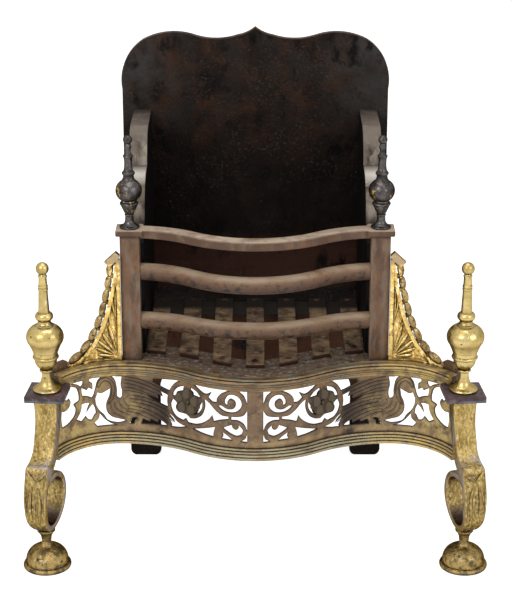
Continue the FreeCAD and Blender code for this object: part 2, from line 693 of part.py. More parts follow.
# Apron: a pierced brass fret between two reeded mouldings, all bent to the serpentine.
# One half of the fret from the centre stile to the leg, as sawn windows (x, z).
STILE_HALF = 12.5
FRET_WINDOWS = [
    # corner above the upper volute
    ((13, 305), [(27, 305)], [(18, 297), (13, 284)]),
    # between the two volutes beside the stile
    ((13, 272), [(18, 264), (26, 261), (38, 260)], [(38, 254)], [(28, 254), (18, 248), (13, 237)]),
    # corner below the lower volute
    ((13, 231), [(16, 223), (24, 218)], [(13, 217)]),
    # the open turn of the upper volute
    ((60, 277), [(52, 270), (42, 267), (30, 269), (22, 279), (24, 291), (33, 298), (43, 297), (48, 289)],
     [(48, 282), (45, 279)],
     [(44, 286), (39, 291), (32, 287), (31, 280), (36, 274), (45, 273), (54, 278)]),
    # above the stem, with its thorn
    ((41, 305), [(54, 298), (61, 289), (62, 282)], [(68, 282), (75, 288)], [(70, 298)],
     [(79, 293), (88, 297), (99, 306)]),
    # between the stems and round under the flower
    ((43, 260), [(54, 261), (64, 268), (73, 278), (81, 284)], [(80, 271), (85, 256), (95, 247), (105, 244)],
     [(111, 249), (116, 250)], [(125, 251), (129, 258), (127, 266), (133, 272)],
     [(136, 261), (133, 249), (127, 241), (117, 237)], [(112, 242)], [(108, 235)],
     [(95, 236), (83, 242), (74, 250)], [(69, 258)], [(66, 248)], [(56, 252), (43, 255)]),
    # three slips between the petals of the flower and its ring
    ((115, 298), [(126, 293), (133, 278)], [(129, 277)], [(127, 286), (117, 288)]),
    ((103, 298), [(94, 293), (87, 284)], [(93, 284)], [(100, 285), (103, 291)]),
    ((85, 277), [(87, 265), (98, 251)], [(100, 258), (95, 263)], [(90, 265), (89, 273)]),
    # between the ring, the top rail and the wing
    ((119, 306), [(128, 301), (135, 293), (139, 285)], [(150, 289), (166, 297)], [(166, 302)]),
    # between the ring, the wing feathers and the tail
    ((142, 277), [(154, 282)], [(150, 273)], [(160, 277)], [(158, 269)], [(177, 274)], [(166, 266)],
     [(153, 260), (142, 256)], [(143, 267), (142, 277)]),
    # between the ring, the tail feathers and the bottom rail
    ((110, 227), [(119, 229), (127, 233), (134, 241), (143, 247)], [(132, 235)], [(130, 230)],
     [(141, 239)], [(135, 225)], [(138, 222)], [(124, 223), (110, 227)]),
    # under the tail, and beside the leg
    ((143, 222), [(148, 227), (157, 232)], [(159, 226)], [(170, 231)], [(172, 226)], [(183, 230)], [(186, 221)]),
    ((193, 232), [(201, 231)], [(202, 226), (205, 223)], [(205, 220)], [(198, 220)], [(196, 226), (192, 229)]),
    # below the lower stem
    ((68, 221), [(67, 229), (64, 239)], [(82, 233), (101, 227)], [(84, 223), (68, 221)]),
    # the open turn of the lower volute
    ((52, 239), [(45, 243), (38, 246)], [(36, 241), (31, 238), (27, 241), (26, 246)],
     [(20, 238), (22, 230)], [(30, 227), (40, 231), (52, 239)]),
    # under the lower volute
    ((36, 219), [(44, 226), (53, 232)], [(51, 226), (54, 220)]),
    # between wing and neck
    ((217, 304), [(219, 290), (217, 278), (218, 268), (221, 265), (225, 269), (225, 280), (227, 294)],
     [(230, 300), (235, 304)]),
    # before the neck, under the bill and the breast
    ((236, 283), [(243, 279), (250, 276), (256, 278)], [(260, 267)],
     [(259, 256), (254, 245), (247, 237), (241, 227), (232, 223)], [(222, 222), (210, 226)],
     [(222, 229), (234, 233), (242, 243), (243, 257), (238, 270), (236, 283)]),
    # between the arched neck, the bud and the spray
    ((251, 304), [(257, 297), (260, 286), (263, 275)], [(266, 270)], [(273, 274), (280, 276)],
     [(281, 283), (281, 291)], [(273, 285)], [(270, 289)], [(264, 285)], [(264, 294)], [(269, 299)],
     [(268, 304)]),
    # above the bud
    ((279, 303), [(280, 297), (283, 293)], [(288, 298), (296, 302)], [(296, 303)]),
    # under the stem of the spray
    ((225, 218), [(235, 221), (245, 229), (254, 241)], [(255, 233), (263, 225)], [(258, 218)]),
    # between the leaves of the spray and the outer scroll
    ((264, 259), [(269, 254), (275, 245)], [(273, 254), (269, 262)], [(275, 263), (281, 262)],
     [(283, 250), (290, 237)], [(283, 232)], [(276, 240)], [(272, 233), (267, 231)],
     [(263, 239), (260, 242)], [(261, 251), (264, 259)]),
    # the open outer scroll
    ((296, 298), [(289, 293), (286, 281), (286, 270)], [(294, 266)], [(291, 257), (294, 245), (301, 237)],
     [(306, 234), (311, 233)], [(312, 247), (311, 261)], [(305, 260), (300, 264), (298, 271), (301, 279)],
     [(304, 276)], [(307, 282), (303, 293), (296, 298)]),
]
windows = []
for side in (-1, 1):
    for start, *stretches in FRET_WINDOWS:
        points = [V(side * x, 0, z) for x, z in stepped(start, stretches, SAW_STEP)]
        windows.append(through(Part.Face(Part.makePolygon(points + points[:1]))))
legs = {side: leg(side) for side in (-1, 1)}
caps = {side: leg_cap(side) for side in (-1, 1)}


def clear_of_legs(shape):
    for side in (-1, 1):
        shape = shape.cut(legs[side])
        shape = shape.cut(caps[side])
    return max(shape.Solids, key=lambda s: s.Volume)


fret = band(-FRET_THICK, 0, FRET_BOTTOM, FRET_TOP, HORN_ANGLE)
fret = clear_of_legs(fret.cut(Part.makeCompound(windows)))

# The top moulding laps over the base plate with a raised lip, and a fillet below its reeds
# covers the top edge of the fret as far as the leg caps.
LIP_WIDTH = 8.0
LIP_RISE = 3.0
FILLET_HEIGHT = 4.5
FILLET_PROUD = 3.0
FILLET_ANGLE = 40.0
top_moulding = moulding(
    LEDGE_ANGLE,
    (0, CAP_TOP),
    [(FILLET_PROUD, CAP_TOP)],
    [(5.2, CAP_TOP + 1.7), (4.0, CAP_TOP + 4.0)],
    [(6.5, CAP_TOP + 5.9), (5.2, CAP_TOP + 8.4)],
    [(8.4, CAP_TOP + 10.2), (6.4, BASE_TOP - 1.0)],
    [(7.0, BASE_TOP + 1.2), (5.0, BASE_TOP + LIP_RISE)],
    [(-LIP_WIDTH, BASE_TOP + LIP_RISE)],
    [(-LIP_WIDTH, BASE_TOP)],
    [(0, BASE_TOP)],
)
fillet = band(0, FILLET_PROUD, CAP_TOP - FILLET_HEIGHT, CAP_TOP, FILLET_ANGLE)
top_moulding = joined([top_moulding, fillet])
bottom_moulding = moulding(
    HORN_ANGLE,
    (-FRET_THICK - 3.0, APRON_BOTTOM),
    [(7.0, APRON_BOTTOM)],
    [(9.4, APRON_BOTTOM + 2.6), (7.4, APRON_BOTTOM + 5.2)],
    [(8.2, APRON_BOTTOM + 7.6), (5.6, APRON_BOTTOM + 9.6)],
    [(6.4, APRON_BOTTOM + 11.8), (3.8, APRON_BOTTOM + 13.6)],
    [(3.6, APRON_BOTTOM + 16.6), (1.0, FRET_BOTTOM)],
    [(-FRET_THICK - 3.0, FRET_BOTTOM)],
)
bottom_moulding = clear_of_legs(bottom_moulding)

# Cleats: small angles brazed behind the fret and screwed up under the base plate.
CLEAT_WIDTH = 18.0
CLEAT_LEG = 16.0
CLEAT_THICK = 3.0
cleats = []
for x in (-FLANK_X, 0, FLANK_X):
    face = serpentine_y(x, -FRET_THICK)
    x0 = x - CLEAT_WIDTH / 2
    x1 = x + CLEAT_WIDTH / 2
    down = box(x0, x1, face - 2, face + CLEAT_THICK, CAP_TOP - 9, CAP_TOP)
    flat = box(x0, x1, face - 2, face + CLEAT_LEG, CAP_TOP - CLEAT_THICK, CAP_TOP)
    skin = band(-FRET_THICK, 2.0, CAP_TOP - 20, CAP_TOP, HORN_ANGLE)
    cleats.append(down.fuse(flat).cut(skin).removeSplitter())

# Spandrel wings: brass castings on the base plate between post and leg, a field with
# raised borders and a string of long beads along a pierced concave edge, hung between two blocks.
WING_BACK = -20.0
WING_FIELD = -14.0
WING_RIB = -10.0
WING_INNER = POST_X + POST_SIDE / 2 + 0.5
WING_EDGE = [(233, 169), (237, 137), (243, 110), (250, 83), (260, 57), (272, 35), (285, 20), (300, 10)]
WING_STRAND = 4.0
WING_SLIT = 4.5
WING_RIB_WIDTH = 6.0
WING_HEAD = 500.0
# The edge was read across from the middle and up from the base plate with the wing's inner side
# here and the wing this tall; it moves with the post and stretches with the head.
WING_READ_INNER = 216.45905
WING_READ_RISE = 175.0
WING_MOVE = WING_INNER - WING_READ_INNER
WING_STRETCH = (WING_HEAD - BASE_TOP) / WING_READ_RISE
WING_TOE = 313.0 + WING_MOVE
WING_BORDER = 6.0
WING_BLOCK = 22.0
WING_BLOCK_TILT = 34.0
BEAD_LENGTH = 21.0
BEAD_RADIUS = 5.2


def edge_curve(inset):
    curve = Part.BSplineCurve()
    curve.interpolate([V(x + WING_MOVE, 0, BASE_TOP + z * WING_STRETCH) for x, z in WING_EDGE])
    marks = []
    for i in range(9):
        t = curve.FirstParameter + (curve.LastParameter - curve.FirstParameter) * i / 8.0
        way = curve.tangent(t)[0]
        marks.append(curve.value(t) + V(way.z, 0, -way.x) * inset)
    return [(p.x, p.z) for p in marks]


def edge_strip(side, outer, inner):
    fore = edge_curve(outer)
    back = edge_curve(inner)[::-1]
    return closed(front_view(side), fore[0], *[[p] for p in fore[1:] + back])


# One long bead between two points of the string.
def bead(start, end):
    way = end - start
    half = min(BEAD_LENGTH, way.Length) / 2
    shape = turned(
        0, 0, 0,
        (BEAD_RADIUS * 0.6, -half),
        [(BEAD_RADIUS, 0)],
        [(BEAD_RADIUS * 0.6, half)],
        sides=RIVET_SIDES,
    )
    shape.Placement = FreeCAD.Placement((start + end) * 0.5, FreeCAD.Rotation(V(0, 0, 1), way))
    return shape


def wing(side):
    place = front_view(side)
    edge = edge_curve(0)
    whole = closed(
        place,
        (WING_INNER, BASE_TOP),
        [(WING_INNER, WING_HEAD)],
        [(edge[0][0], WING_HEAD)],
        *[[p] for p in edge],
        [(WING_TOE, BASE_TOP)],
    )
    rib_outer = WING_STRAND + WING_SLIT
    rib_inner = rib_outer + WING_RIB_WIDTH
    border = WING_INNER + WING_BORDER
    sill = BASE_TOP + WING_BORDER
    raised = [
        edge_strip(side, rib_outer, rib_inner),
        closed(place, (WING_INNER, BASE_TOP), [(WING_INNER, WING_HEAD)], [(border, WING_HEAD)],
               [(border, BASE_TOP)]),
        closed(place, (WING_INNER, BASE_TOP), [(WING_INNER, sill)], [(WING_TOE - 8, sill)],
               [(WING_TOE, BASE_TOP)]),
    ]
    thin = band(WING_BACK, WING_FIELD, BASE_TOP, WING_HEAD + 20, LEDGE_ANGLE)
    thick = band(WING_BACK, WING_RIB, BASE_TOP, WING_HEAD + 20, LEDGE_ANGLE)
    blank = through(whole)
    shape = thin.common(blank).multiFuse([thick.common(through(r)).common(blank) for r in raised])
    outer = edge_curve(WING_STRAND)
    inner = edge_curve(rib_outer)
    middle = edge_curve(WING_STRAND / 2)
    slits = []
    beads = []
    lift = (WING_BACK + WING_RIB) / 2
    for i in range(len(middle) - 1):

        def part_way(line, share):
            return tuple(line[i][k] + (line[i + 1][k] - line[i][k]) * share for k in (0, 1))

        if i < len(middle) - 2:
            slits.append(through(closed(place, part_way(outer, 0.15), [part_way(outer, 0.85)],
                                        [part_way(inner, 0.85)], [part_way(inner, 0.15)])))
        ends = [V(side * x, serpentine_y(x, lift), z) for x, z in (middle[i], middle[i + 1])]
        beads.append(bead(*ends))
    block = box(-WING_BLOCK / 2, WING_BLOCK / 2, -WING_BLOCK / 4, WING_BLOCK / 4,
                -WING_BLOCK / 3, WING_BLOCK / 3)
    toe = block.copy()
    block.rotate(V(0, 0, 0), V(0, 1, 0), side * WING_BLOCK_TILT)
    block_x = WING_INNER + WING_BLOCK / 2
    block.translate(V(side * block_x, serpentine_y(block_x, lift), WING_HEAD + WING_BLOCK / 5))
    toe_turn = math.degrees(math.asin((WING_TOE - FLANK_X) / (HORN_RADIUS - lift)))
    toe.rotate(V(0, 0, 0), V(0, 0, 1), -side * toe_turn)
    toe.translate(V(side * WING_TOE, serpentine_y(WING_TOE, lift), BASE_TOP + WING_BLOCK / 3))
    shape = shape.cut(Part.makeCompound(slits)).multiFuse(beads + [block, toe])
    inside = box(-WING_INNER, WING_INNER, -100, 300, BASE_TOP, WING_HEAD + 50)
    return shape.cut(inside)


# Everything is moved so that the origin lies under the middle of the depth.
nodes = {
    "back_plate": plate,
    "plate_bolts": Part.makeCompound(bolts),
    "cheek_left": cheek(-1),
    "cheek_right": cheek(1),
    "base_plate": base,
    "post_left": post(-1),
    "post_right": post(1),
    "post_nuts": Part.makeCompound(nuts),
    "top_bar": top_bar,
    "middle_bar": round_bar(MIDDLE_BOW, MIDDLE_BAR_LEVEL),
    "lower_bar": round_bar(LOWER_BOW, LOWER_BAR_LEVEL),
    "iron_finial_left": iron_finial(-1),
    "iron_finial_right": iron_finial(1),
    "rear_bearer": bearer,
    "fire_bar_rivets": Part.makeCompound(rivets),
    "rail_bracket_left": brackets[0],
    "rail_bracket_right": brackets[1],
    "leg_left": legs[-1],
    "leg_right": legs[1],
    "foot_left": foot(-1),
    "foot_right": foot(1),
    "leg_cap_left": caps[-1],
    "leg_cap_right": caps[1],
    "brass_finial_left": brass_finial(-1),
    "brass_finial_right": brass_finial(1),
    "apron_fret": fret,
    "top_moulding": top_moulding,
    "bottom_moulding": bottom_moulding,
    "fret_cleats": Part.makeCompound(cleats),
    "wing_left": wing(-1),
    "wing_right": wing(1),
}
for i, bar in enumerate(fire_bars):
    nodes["fire_bar_%d" % (i + 1)] = bar

whole = Part.makeCompound(list(nodes.values())).optimalBoundingBox(False, False)
shift = V(0, -(whole.YMin + whole.YMax) / 2, 0)
for name, shape in nodes.items():
    placed = shape.copy()
    placed.translate(shift)
    placed.exportStep("parts/" + name + ".step")
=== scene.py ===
import bmesh
import bpy
import math
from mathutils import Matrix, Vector


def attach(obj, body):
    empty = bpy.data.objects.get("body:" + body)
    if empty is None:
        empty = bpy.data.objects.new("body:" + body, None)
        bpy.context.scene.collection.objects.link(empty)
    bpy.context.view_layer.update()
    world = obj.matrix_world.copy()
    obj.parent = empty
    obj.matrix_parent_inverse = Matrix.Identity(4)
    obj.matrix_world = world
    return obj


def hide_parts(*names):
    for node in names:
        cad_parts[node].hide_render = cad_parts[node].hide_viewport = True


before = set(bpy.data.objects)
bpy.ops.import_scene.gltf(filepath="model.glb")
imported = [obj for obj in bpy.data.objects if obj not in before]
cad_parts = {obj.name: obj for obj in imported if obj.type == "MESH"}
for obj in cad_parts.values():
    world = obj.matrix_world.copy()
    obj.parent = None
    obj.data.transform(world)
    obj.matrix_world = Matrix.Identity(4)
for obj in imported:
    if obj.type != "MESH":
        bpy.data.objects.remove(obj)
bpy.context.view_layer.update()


# Back plate: one tall iron casting that the fire has blackened, with rust and ash-blue scale
# showing through the soot, redder low down behind the bars. It stands on two feet of its own, and
# square bolts driven from behind hold the cheeks and the rail brackets to it.
UP = (0.0, 0.0, 1.0)
DOWN = (0.0, 0.0, -1.0)
FRONT = (0.0, -1.0, 0.0)
BACK = (0.0, 1.0, 0.0)
WELD = 0.00001
FLAT = math.radians(0.5)
ARRIS = math.radians(32)
CREASE = math.radians(34)


def skin(finish, socket):
    return finish.node_tree.nodes["Principled BSDF"].inputs[socket]


def new_finish(name, metallic, roughness, shine=0.5, edge_tint=None):
    finish = bpy.data.materials.new(name)
    finish.use_nodes = True
    skin(finish, "Metallic").default_value = metallic
    skin(finish, "Roughness").default_value = roughness
    skin(finish, "Specular IOR Level").default_value = shine
    if edge_tint:
        skin(finish, "Specular Tint").default_value = (*edge_tint, 1)
    return finish


def added(owner, kind, feeds, **settings):
    node = owner.node_tree.nodes.new("ShaderNode" + kind)
    for setting, value in settings.items():
        setattr(node, setting, value)
    for socket, feed in feeds.items():
        if isinstance(feed, bpy.types.NodeSocket):
            owner.node_tree.links.new(feed, node.inputs[socket])
        else:
            node.inputs[socket].default_value = feed
    return node


def ranged(finish, value, low, high):
    return added(finish, "MapRange", {"Value": value, "From Min": low, "From Max": high}).outputs["Result"]


def spot(finish):
    return added(finish, "TexCoord", {}).outputs["Object"]


def cloud(finish, size, low, high, grain=6.0, stretch=(1.0, 1.0, 1.0), shift=0.0):
    moved = added(finish, "Mapping", {"Vector": spot(finish), "Scale": stretch,
                                      "Location": (shift, 0.7 * shift, 0.4 * shift)})
    noise = added(finish, "TexNoise", {"Vector": moved.outputs["Vector"], "Scale": 1.0 / size,
                                       "Detail": grain, "Roughness": 0.6})
    return ranged(finish, noise.outputs["Fac"], low, high)


def facing(finish, axis, low, high):
    normal = added(finish, "NewGeometry", {}).outputs["Normal"]
    dot = added(finish, "VectorMath", {0: normal, 1: axis}, operation="DOT_PRODUCT")
    return ranged(finish, dot.outputs["Value"], low, high)


def along(finish, axis, low, high):
    dot = added(finish, "VectorMath", {0: spot(finish), 1: axis}, operation="DOT_PRODUCT")
    return ranged(finish, dot.outputs["Value"], low, high)


def above(finish, low, high):
    return along(finish, UP, low, high)


def below(finish, high, low):
    return along(finish, DOWN, -high, -low)


def outward(finish, low, high):
    apart = added(finish, "SeparateXYZ", {0: spot(finish)})
    aside = added(finish, "Math", {0: apart.outputs["X"]}, operation="ABSOLUTE")
    return ranged(finish, aside.outputs["Value"], low, high)


# An ambient-occlusion mask that darkens colour in hollows, creases and between parts: painted shade.
def painted_hollow_shade(finish, reach, low, high, inside=False):
    shelter = added(finish, "AmbientOcclusion", {"Distance": reach}, samples=8, inside=inside)
    return ranged(finish, shelter.outputs["AO"], high, low)


def meet(finish, mask, *others):
    for other in others:
        mask = added(finish, "Math", {0: mask, 1: other}, operation="MULTIPLY").outputs["Value"]
    return mask


def coats(finish, ground, *layers):
    under = (*ground, 1)
    for colour, mask in layers:
        mix = added(finish, "Mix", {0: mask, 6: under, 7: (*colour, 1)}, data_type="RGBA")
        under = mix.outputs[2]
    finish.node_tree.links.new(under, skin(finish, "Base Color"))


def sheen_range(finish, mask, smooth, rough):
    span = added(finish, "MapRange", {"Value": mask, "To Min": smooth, "To Max": rough})
    finish.node_tree.links.new(span.outputs["Result"], skin(finish, "Roughness"))


def relief(finish, *layers):
    under = {}
    for height, mask in layers:
        bump = added(finish, "Bump", {"Strength": 1.0, "Distance": height, "Height": mask, **under})
        under = {"Normal": bump.outputs["Normal"]}
    finish.node_tree.links.new(under["Normal"], skin(finish, "Normal"))


def placed(form, name, finish, node=None):
    mesh = bpy.data.meshes.new(name)
    form.to_mesh(mesh)
    form.free()
    mesh.polygons.foreach_set("use_smooth", [True] * len(mesh.polygons))
    mesh.set_sharp_from_angle(angle=CREASE)
    mesh.materials.append(finish)
    piece = bpy.data.objects.new(name, mesh)
    bpy.context.scene.collection.objects.link(piece)
    if node:
        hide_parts(node)
    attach(piece, "root")
    return piece


def dressed(node, finish, edge=0.0, reshaped=None):
    form = bmesh.new()
    form.from_mesh(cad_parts[node].data)
    bmesh.ops.remove_doubles(form, verts=form.verts, dist=WELD)
    bmesh.ops.dissolve_limit(form, angle_limit=FLAT, verts=form.verts, edges=form.edges)
    if reshaped:
        for vert in form.verts:
            vert.co = reshaped(vert.co)
    if edge:
        arrises = [e for e in form.edges if e.is_manifold and e.calc_face_angle() > ARRIS]
        bmesh.ops.bevel(form, geom=arrises, offset=edge, offset_type="OFFSET", segments=2, profile=0.5,
                        affect="EDGES", material=-1, clamp_overlap=True)
    return placed(form, node + "_worn", finish, node)


soot = new_finish("soot_black_iron", metallic=0.0, roughness=0.8, shine=0.08)
plate_high = above(soot, 0.54, 0.70)
fire_side = facing(soot, FRONT, 0.2, 0.6)
plate_bars = meet(soot, below(soot, 0.435, 0.400), above(soot, 0.325, 0.350))
plate_hearth = meet(soot, below(soot, 0.285, 0.255), above(soot, 0.10, 0.15))
plate_corner = meet(soot, outward(soot, 0.10, 0.19), above(soot, 0.60, 0.68))
plate_rim = meet(soot, facing(soot, FRONT, 0.90, 0.40), facing(soot, BACK, 0.90, 0.40))
plate_rust = cloud(soot, 0.045, 0.47, 0.62, 10.0)
plate_ash = cloud(soot, 0.055, 0.47, 0.64, 10.0, stretch=(1.0, 1.0, 0.7), shift=3.1)
plate_specks = cloud(soot, 0.0034, 0.63, 0.74, 2.0, shift=5.0)
plate_scores = meet(soot, above(soot, 0.46, 0.56),
                    cloud(soot, 0.0042, 0.54, 0.70, 6.0, stretch=(0.8, 1.0, 0.9), shift=8.0))
plate_flush = meet(soot, fire_side, plate_bars,
                   cloud(soot, 0.05, 0.26, 0.46, 8.0, stretch=(1.0, 1.0, 0.4), shift=1.0))
coats(soot, (0.0040, 0.0024, 0.0016),
      ((0.0092, 0.0050, 0.0034), cloud(soot, 0.040, 0.46, 0.62, 10.0, shift=11.0)),
      ((0.0100, 0.0056, 0.0039), plate_high),
      ((0.0330, 0.0140, 0.0066), meet(soot, plate_high, plate_rust)),
      ((0.0180, 0.0145, 0.0130), meet(soot, plate_high, plate_ash)),
      ((0.0360, 0.0310, 0.0290), meet(soot, plate_corner, cloud(soot, 0.05, 0.34, 0.56, 9.0, shift=7.0))),
      ((0.0460, 0.0190, 0.0125), plate_flush),
      ((0.0580, 0.0245, 0.0130), meet(soot, fire_side, plate_hearth)),
      ((0.0016, 0.0010, 0.0007), cloud(soot, 0.030, 0.54, 0.66, 9.0, stretch=(1.0, 1.0, 0.6), shift=6.0)),
      ((0.0360, 0.0300, 0.0255), meet(soot, plate_scores, cloud(soot, 0.05, 0.40, 0.60, 6.0, shift=9.0))),
      ((0.0620, 0.0540, 0.0480), meet(soot, plate_specks, cloud(soot, 0.06, 0.48, 0.60, 5.0, shift=4.0))),
      ((0.0900, 0.0520, 0.0330), meet(soot, plate_rim, cloud(soot, 0.03, 0.34, 0.56, 7.0, shift=2.5))))
sheen_range(soot, plate_ash, 0.62, 0.9)
relief(soot, (0.0014, cloud(soot, 0.006, 0.3, 0.8, 8.0)),
       (0.0012, cloud(soot, 0.04, 0.3, 0.7, 5.0, shift=2.0)))
dressed("back_plate", soot, edge=0.0018)
dressed("plate_bolts", soot, edge=0.0008)
for side in ("left", "right"):
    dressed("rail_bracket_" + side, soot, edge=0.0008)


# Cheeks: two iron side castings with a rim round their outer face. Fire has blackened the faces
# towards the basket and hands and ash have rubbed the front rims to a pale grey brown.
# They stand on the base plate and are bolted to the back plate.
rubbed = new_finish("rubbed_grey_iron", metallic=0.0, roughness=0.6, shine=0.12)
rim = meet(rubbed, facing(rubbed, (0.0, -0.86, 0.5), 0.30, 0.70), above(rubbed, 0.530, 0.555))
rim_dark = meet(rubbed, rim, cloud(rubbed, 0.022, 0.47, 0.63, 9.0, stretch=(1.0, 1.0, 0.5), shift=1.3))
rim_pale = meet(rubbed, rim, cloud(rubbed, 0.018, 0.51, 0.68, 8.0, stretch=(1.0, 1.0, 0.35), shift=4.3))
# Painted light on the rims: the up-facing tops above the ledge are darkened as painted shade, and the
# up-facing ledge below is painted pale as a highlight.
rim_head_shade = meet(rubbed, rim, facing(rubbed, UP, 0.45, 0.95), above(rubbed, 0.62, 0.64))
rim_ledge_highlight = meet(rubbed, rim, facing(rubbed, UP, 0.80, 0.98), below(rubbed, 0.64, 0.62))
coats(rubbed, (0.0012, 0.0006, 0.0004),
      ((0.142, 0.112, 0.088), rim),
      ((0.048, 0.034, 0.026), rim_dark),
      ((0.300, 0.255, 0.210), rim_pale),
      # painted shade on the rim tops, then a painted highlight on the ledge
      ((0.170, 0.138, 0.112), rim_head_shade),
      ((0.560, 0.520, 0.460), rim_ledge_highlight))
relief(rubbed, (0.0008, cloud(rubbed, 0.01, 0.3, 0.8, 8.0)))
for side in ("left", "right"):
    dressed("cheek_" + side, rubbed, edge=0.0015)


# Base plate, posts and top bar: the wrought-iron basket. The base plate is the serpentine
# shelf, the square posts are studded through it and held by square nuts. All are burnt to a
# red-brown skin, painted paler on top as a highlight that also stands for rubbing, with painted
# shade in the hollows; the shelf is flaked and grey with ash.
def node_box(node):
    corners = [v.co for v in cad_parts[node].data.vertices]
    low = Vector([min(c[k] for c in corners) for k in range(3)])
    high = Vector([max(c[k] for c in corners) for k in range(3)])
    return low, high


TOP_LEVEL = node_box("top_bar")[0].z
burnt = new_finish("burnt_brown_iron", metallic=0.0, roughness=0.58, shine=0.3)
burnt_streak = cloud(burnt, 0.012, 0.46, 0.66, 9.0, stretch=(1.0, 1.0, 0.25), shift=9.0)
# Up-facing tops painted pale tan: a painted highlight that also stands for rubbing.
burnt_top_highlight_and_wear = meet(burnt, facing(burnt, (0.0, -0.2, 0.98), 0.70, 0.98),
                 cloud(burnt, 0.03, 0.26, 0.50, 8.0, shift=7.0))
burnt_bar = meet(burnt, above(burnt, TOP_LEVEL - 0.006, TOP_LEVEL - 0.004),
                 cloud(burnt, 0.03, 0.30, 0.56, 8.0, shift=3.0))
coats(burnt, (0.160, 0.088, 0.050),
      ((0.066, 0.038, 0.026), cloud(burnt, 0.026, 0.48, 0.68, 9.0, stretch=(1.0, 1.0, 0.35))),
      ((0.230, 0.102, 0.042), cloud(burnt, 0.018, 0.52, 0.70, 8.0, shift=4.0)),
      ((0.200, 0.150, 0.112), burnt_streak),
      # painted shade in the hollows, then the painted highlight and rubbing on top faces
      ((0.035, 0.024, 0.020), painted_hollow_shade(burnt, 0.010, 0.30, 0.75)),
      ((0.098, 0.054, 0.033), burnt_bar),
      ((0.400, 0.305, 0.222), burnt_top_highlight_and_wear))
relief(burnt, (0.0006, cloud(burnt, 0.006, 0.3, 0.8, 6.0)),
       (0.0010, cloud(burnt, 0.03, 0.3, 0.7, 3.0, shift=2.0)))
flaked = new_finish("flaked_shelf_iron", metallic=0.0, roughness=0.75, shine=0.2)
flaked_ash = cloud(flaked, 0.009, 0.48, 0.64, 9.0)
coats(flaked, (0.118, 0.080, 0.055),
      ((0.310, 0.245, 0.190), flaked_ash),
      ((0.150, 0.080, 0.045), cloud(flaked, 0.022, 0.52, 0.72, 8.0, shift=3.0)),
      ((0.024, 0.016, 0.012), cloud(flaked, 0.010, 0.56, 0.66, 8.0, shift=6.0)),
      ((0.008, 0.005, 0.0035), along(flaked, BACK, 0.05, 0.11)))
relief(flaked, (0.0016, flaked_ash), (0.0014, cloud(flaked, 0.004, 0.3, 0.8, 4.0, shift=1.0)))
dressed("base_plate", flaked, edge=0.0016)
for node in ("post_left", "post_right", "post_nuts", "top_bar"):
    dressed(node, burnt, edge=0.0022)


# Round bars: two bowed iron rods in front of the fire, tenoned into the posts. They are smooth
# and red-brown, painted tan on top as a highlight where the light falls and the poker rubs, and
# painted darker underneath as shade, with black char patches there. The flat top bar has a
# rolled lip along its front.
def swept(section, arcs, steps):
    form = bmesh.new()
    centre, radius, sign, start = arcs[0][:4]
    out = Vector((math.sin(start), -sign * math.cos(start), 0)) * sign
    ring = [form.verts.new(centre + out * (sign * radius + offset) + Vector((0, 0, height)))
            for offset, height in section]
    geometry = ring + [form.edges.new((ring[i - 1], ring[i])) for i in range(len(ring))]
    for centre, radius, sign, start, end in arcs:
        spin = bmesh.ops.spin(form, geom=geometry, cent=centre, axis=UP, angle=(end - start) * sign,
                              steps=steps)
        geometry = spin["geom_last"]
    bmesh.ops.holes_fill(form, edges=form.edges, sides=0)
    bmesh.ops.recalc_face_normals(form, faces=form.faces)
    return form


post_low, post_high = node_box("post_right")
POST_X = (post_low.x + post_high.x) / 2
POST_Y = (post_low.y + post_high.y) / 2
smooth_bar = new_finish("smooth_burnt_bar", metallic=0.0, roughness=0.5, shine=0.35)
# Undersides are darkened as painted shade; tops are painted tan as a highlight that also stands for poker
# wear.
bar_under_shade = facing(smooth_bar, (0.0, -0.25, -0.97), -0.55, 0.45)
lower_scoured = meet(smooth_bar, below(smooth_bar, 0.430, 0.415),
                     cloud(smooth_bar, 0.024, 0.34, 0.56, 8.0, stretch=(0.5, 1.0, 1.0), shift=5.5))
bar_top_highlight_and_wear = meet(smooth_bar, facing(smooth_bar, (0.0, -0.3, 0.95), 0.60, 0.95),
               cloud(smooth_bar, 0.020, 0.32, 0.56, 9.0, stretch=(0.4, 1.0, 1.0), shift=7.0))
bar_char = meet(smooth_bar, bar_under_shade, cloud(smooth_bar, 0.010, 0.50, 0.62, 9.0, shift=5.0))
coats(smooth_bar, (0.195, 0.108, 0.056),
      ((0.215, 0.100, 0.045), cloud(smooth_bar, 0.020, 0.46, 0.66, 9.0, stretch=(0.4, 1.0, 1.0), shift=2.0)),
      ((0.255, 0.148, 0.080), lower_scoured),
      # painted highlight on the tops, painted shade underneath with a darker shaded copy of the scoured
      # band, then black char patches
      ((0.345, 0.258, 0.175), bar_top_highlight_and_wear),
      ((0.085, 0.044, 0.024), bar_under_shade),
      ((0.130, 0.071, 0.038), meet(smooth_bar, lower_scoured, bar_under_shade)),
      ((0.014, 0.012, 0.012), bar_char))
relief(smooth_bar, (0.0008, cloud(smooth_bar, 0.006, 0.3, 0.8, 6.0)))
BAR_RADIUS = 0.0140
BAR_SIDES = 28
BAR_STEPS = 40
BAR_SECTION = [(BAR_RADIUS * math.cos(a), BAR_RADIUS * math.sin(a))
               for a in (math.tau * i / BAR_SIDES for i in range(BAR_SIDES))]


def bowed(bow, level):
    turn = 2 * math.atan2(bow, POST_X)
    bend = POST_X / (2 * math.sin(turn))
    return [
        (Vector((-POST_X, POST_Y - bend, level)), bend, -1, 0.0, turn),
        (Vector((0, POST_Y - bow + bend, level)), bend, 1, -turn, turn),
        (Vector((POST_X, POST_Y - bend, level)), bend, -1, -turn, 0.0),
    ]


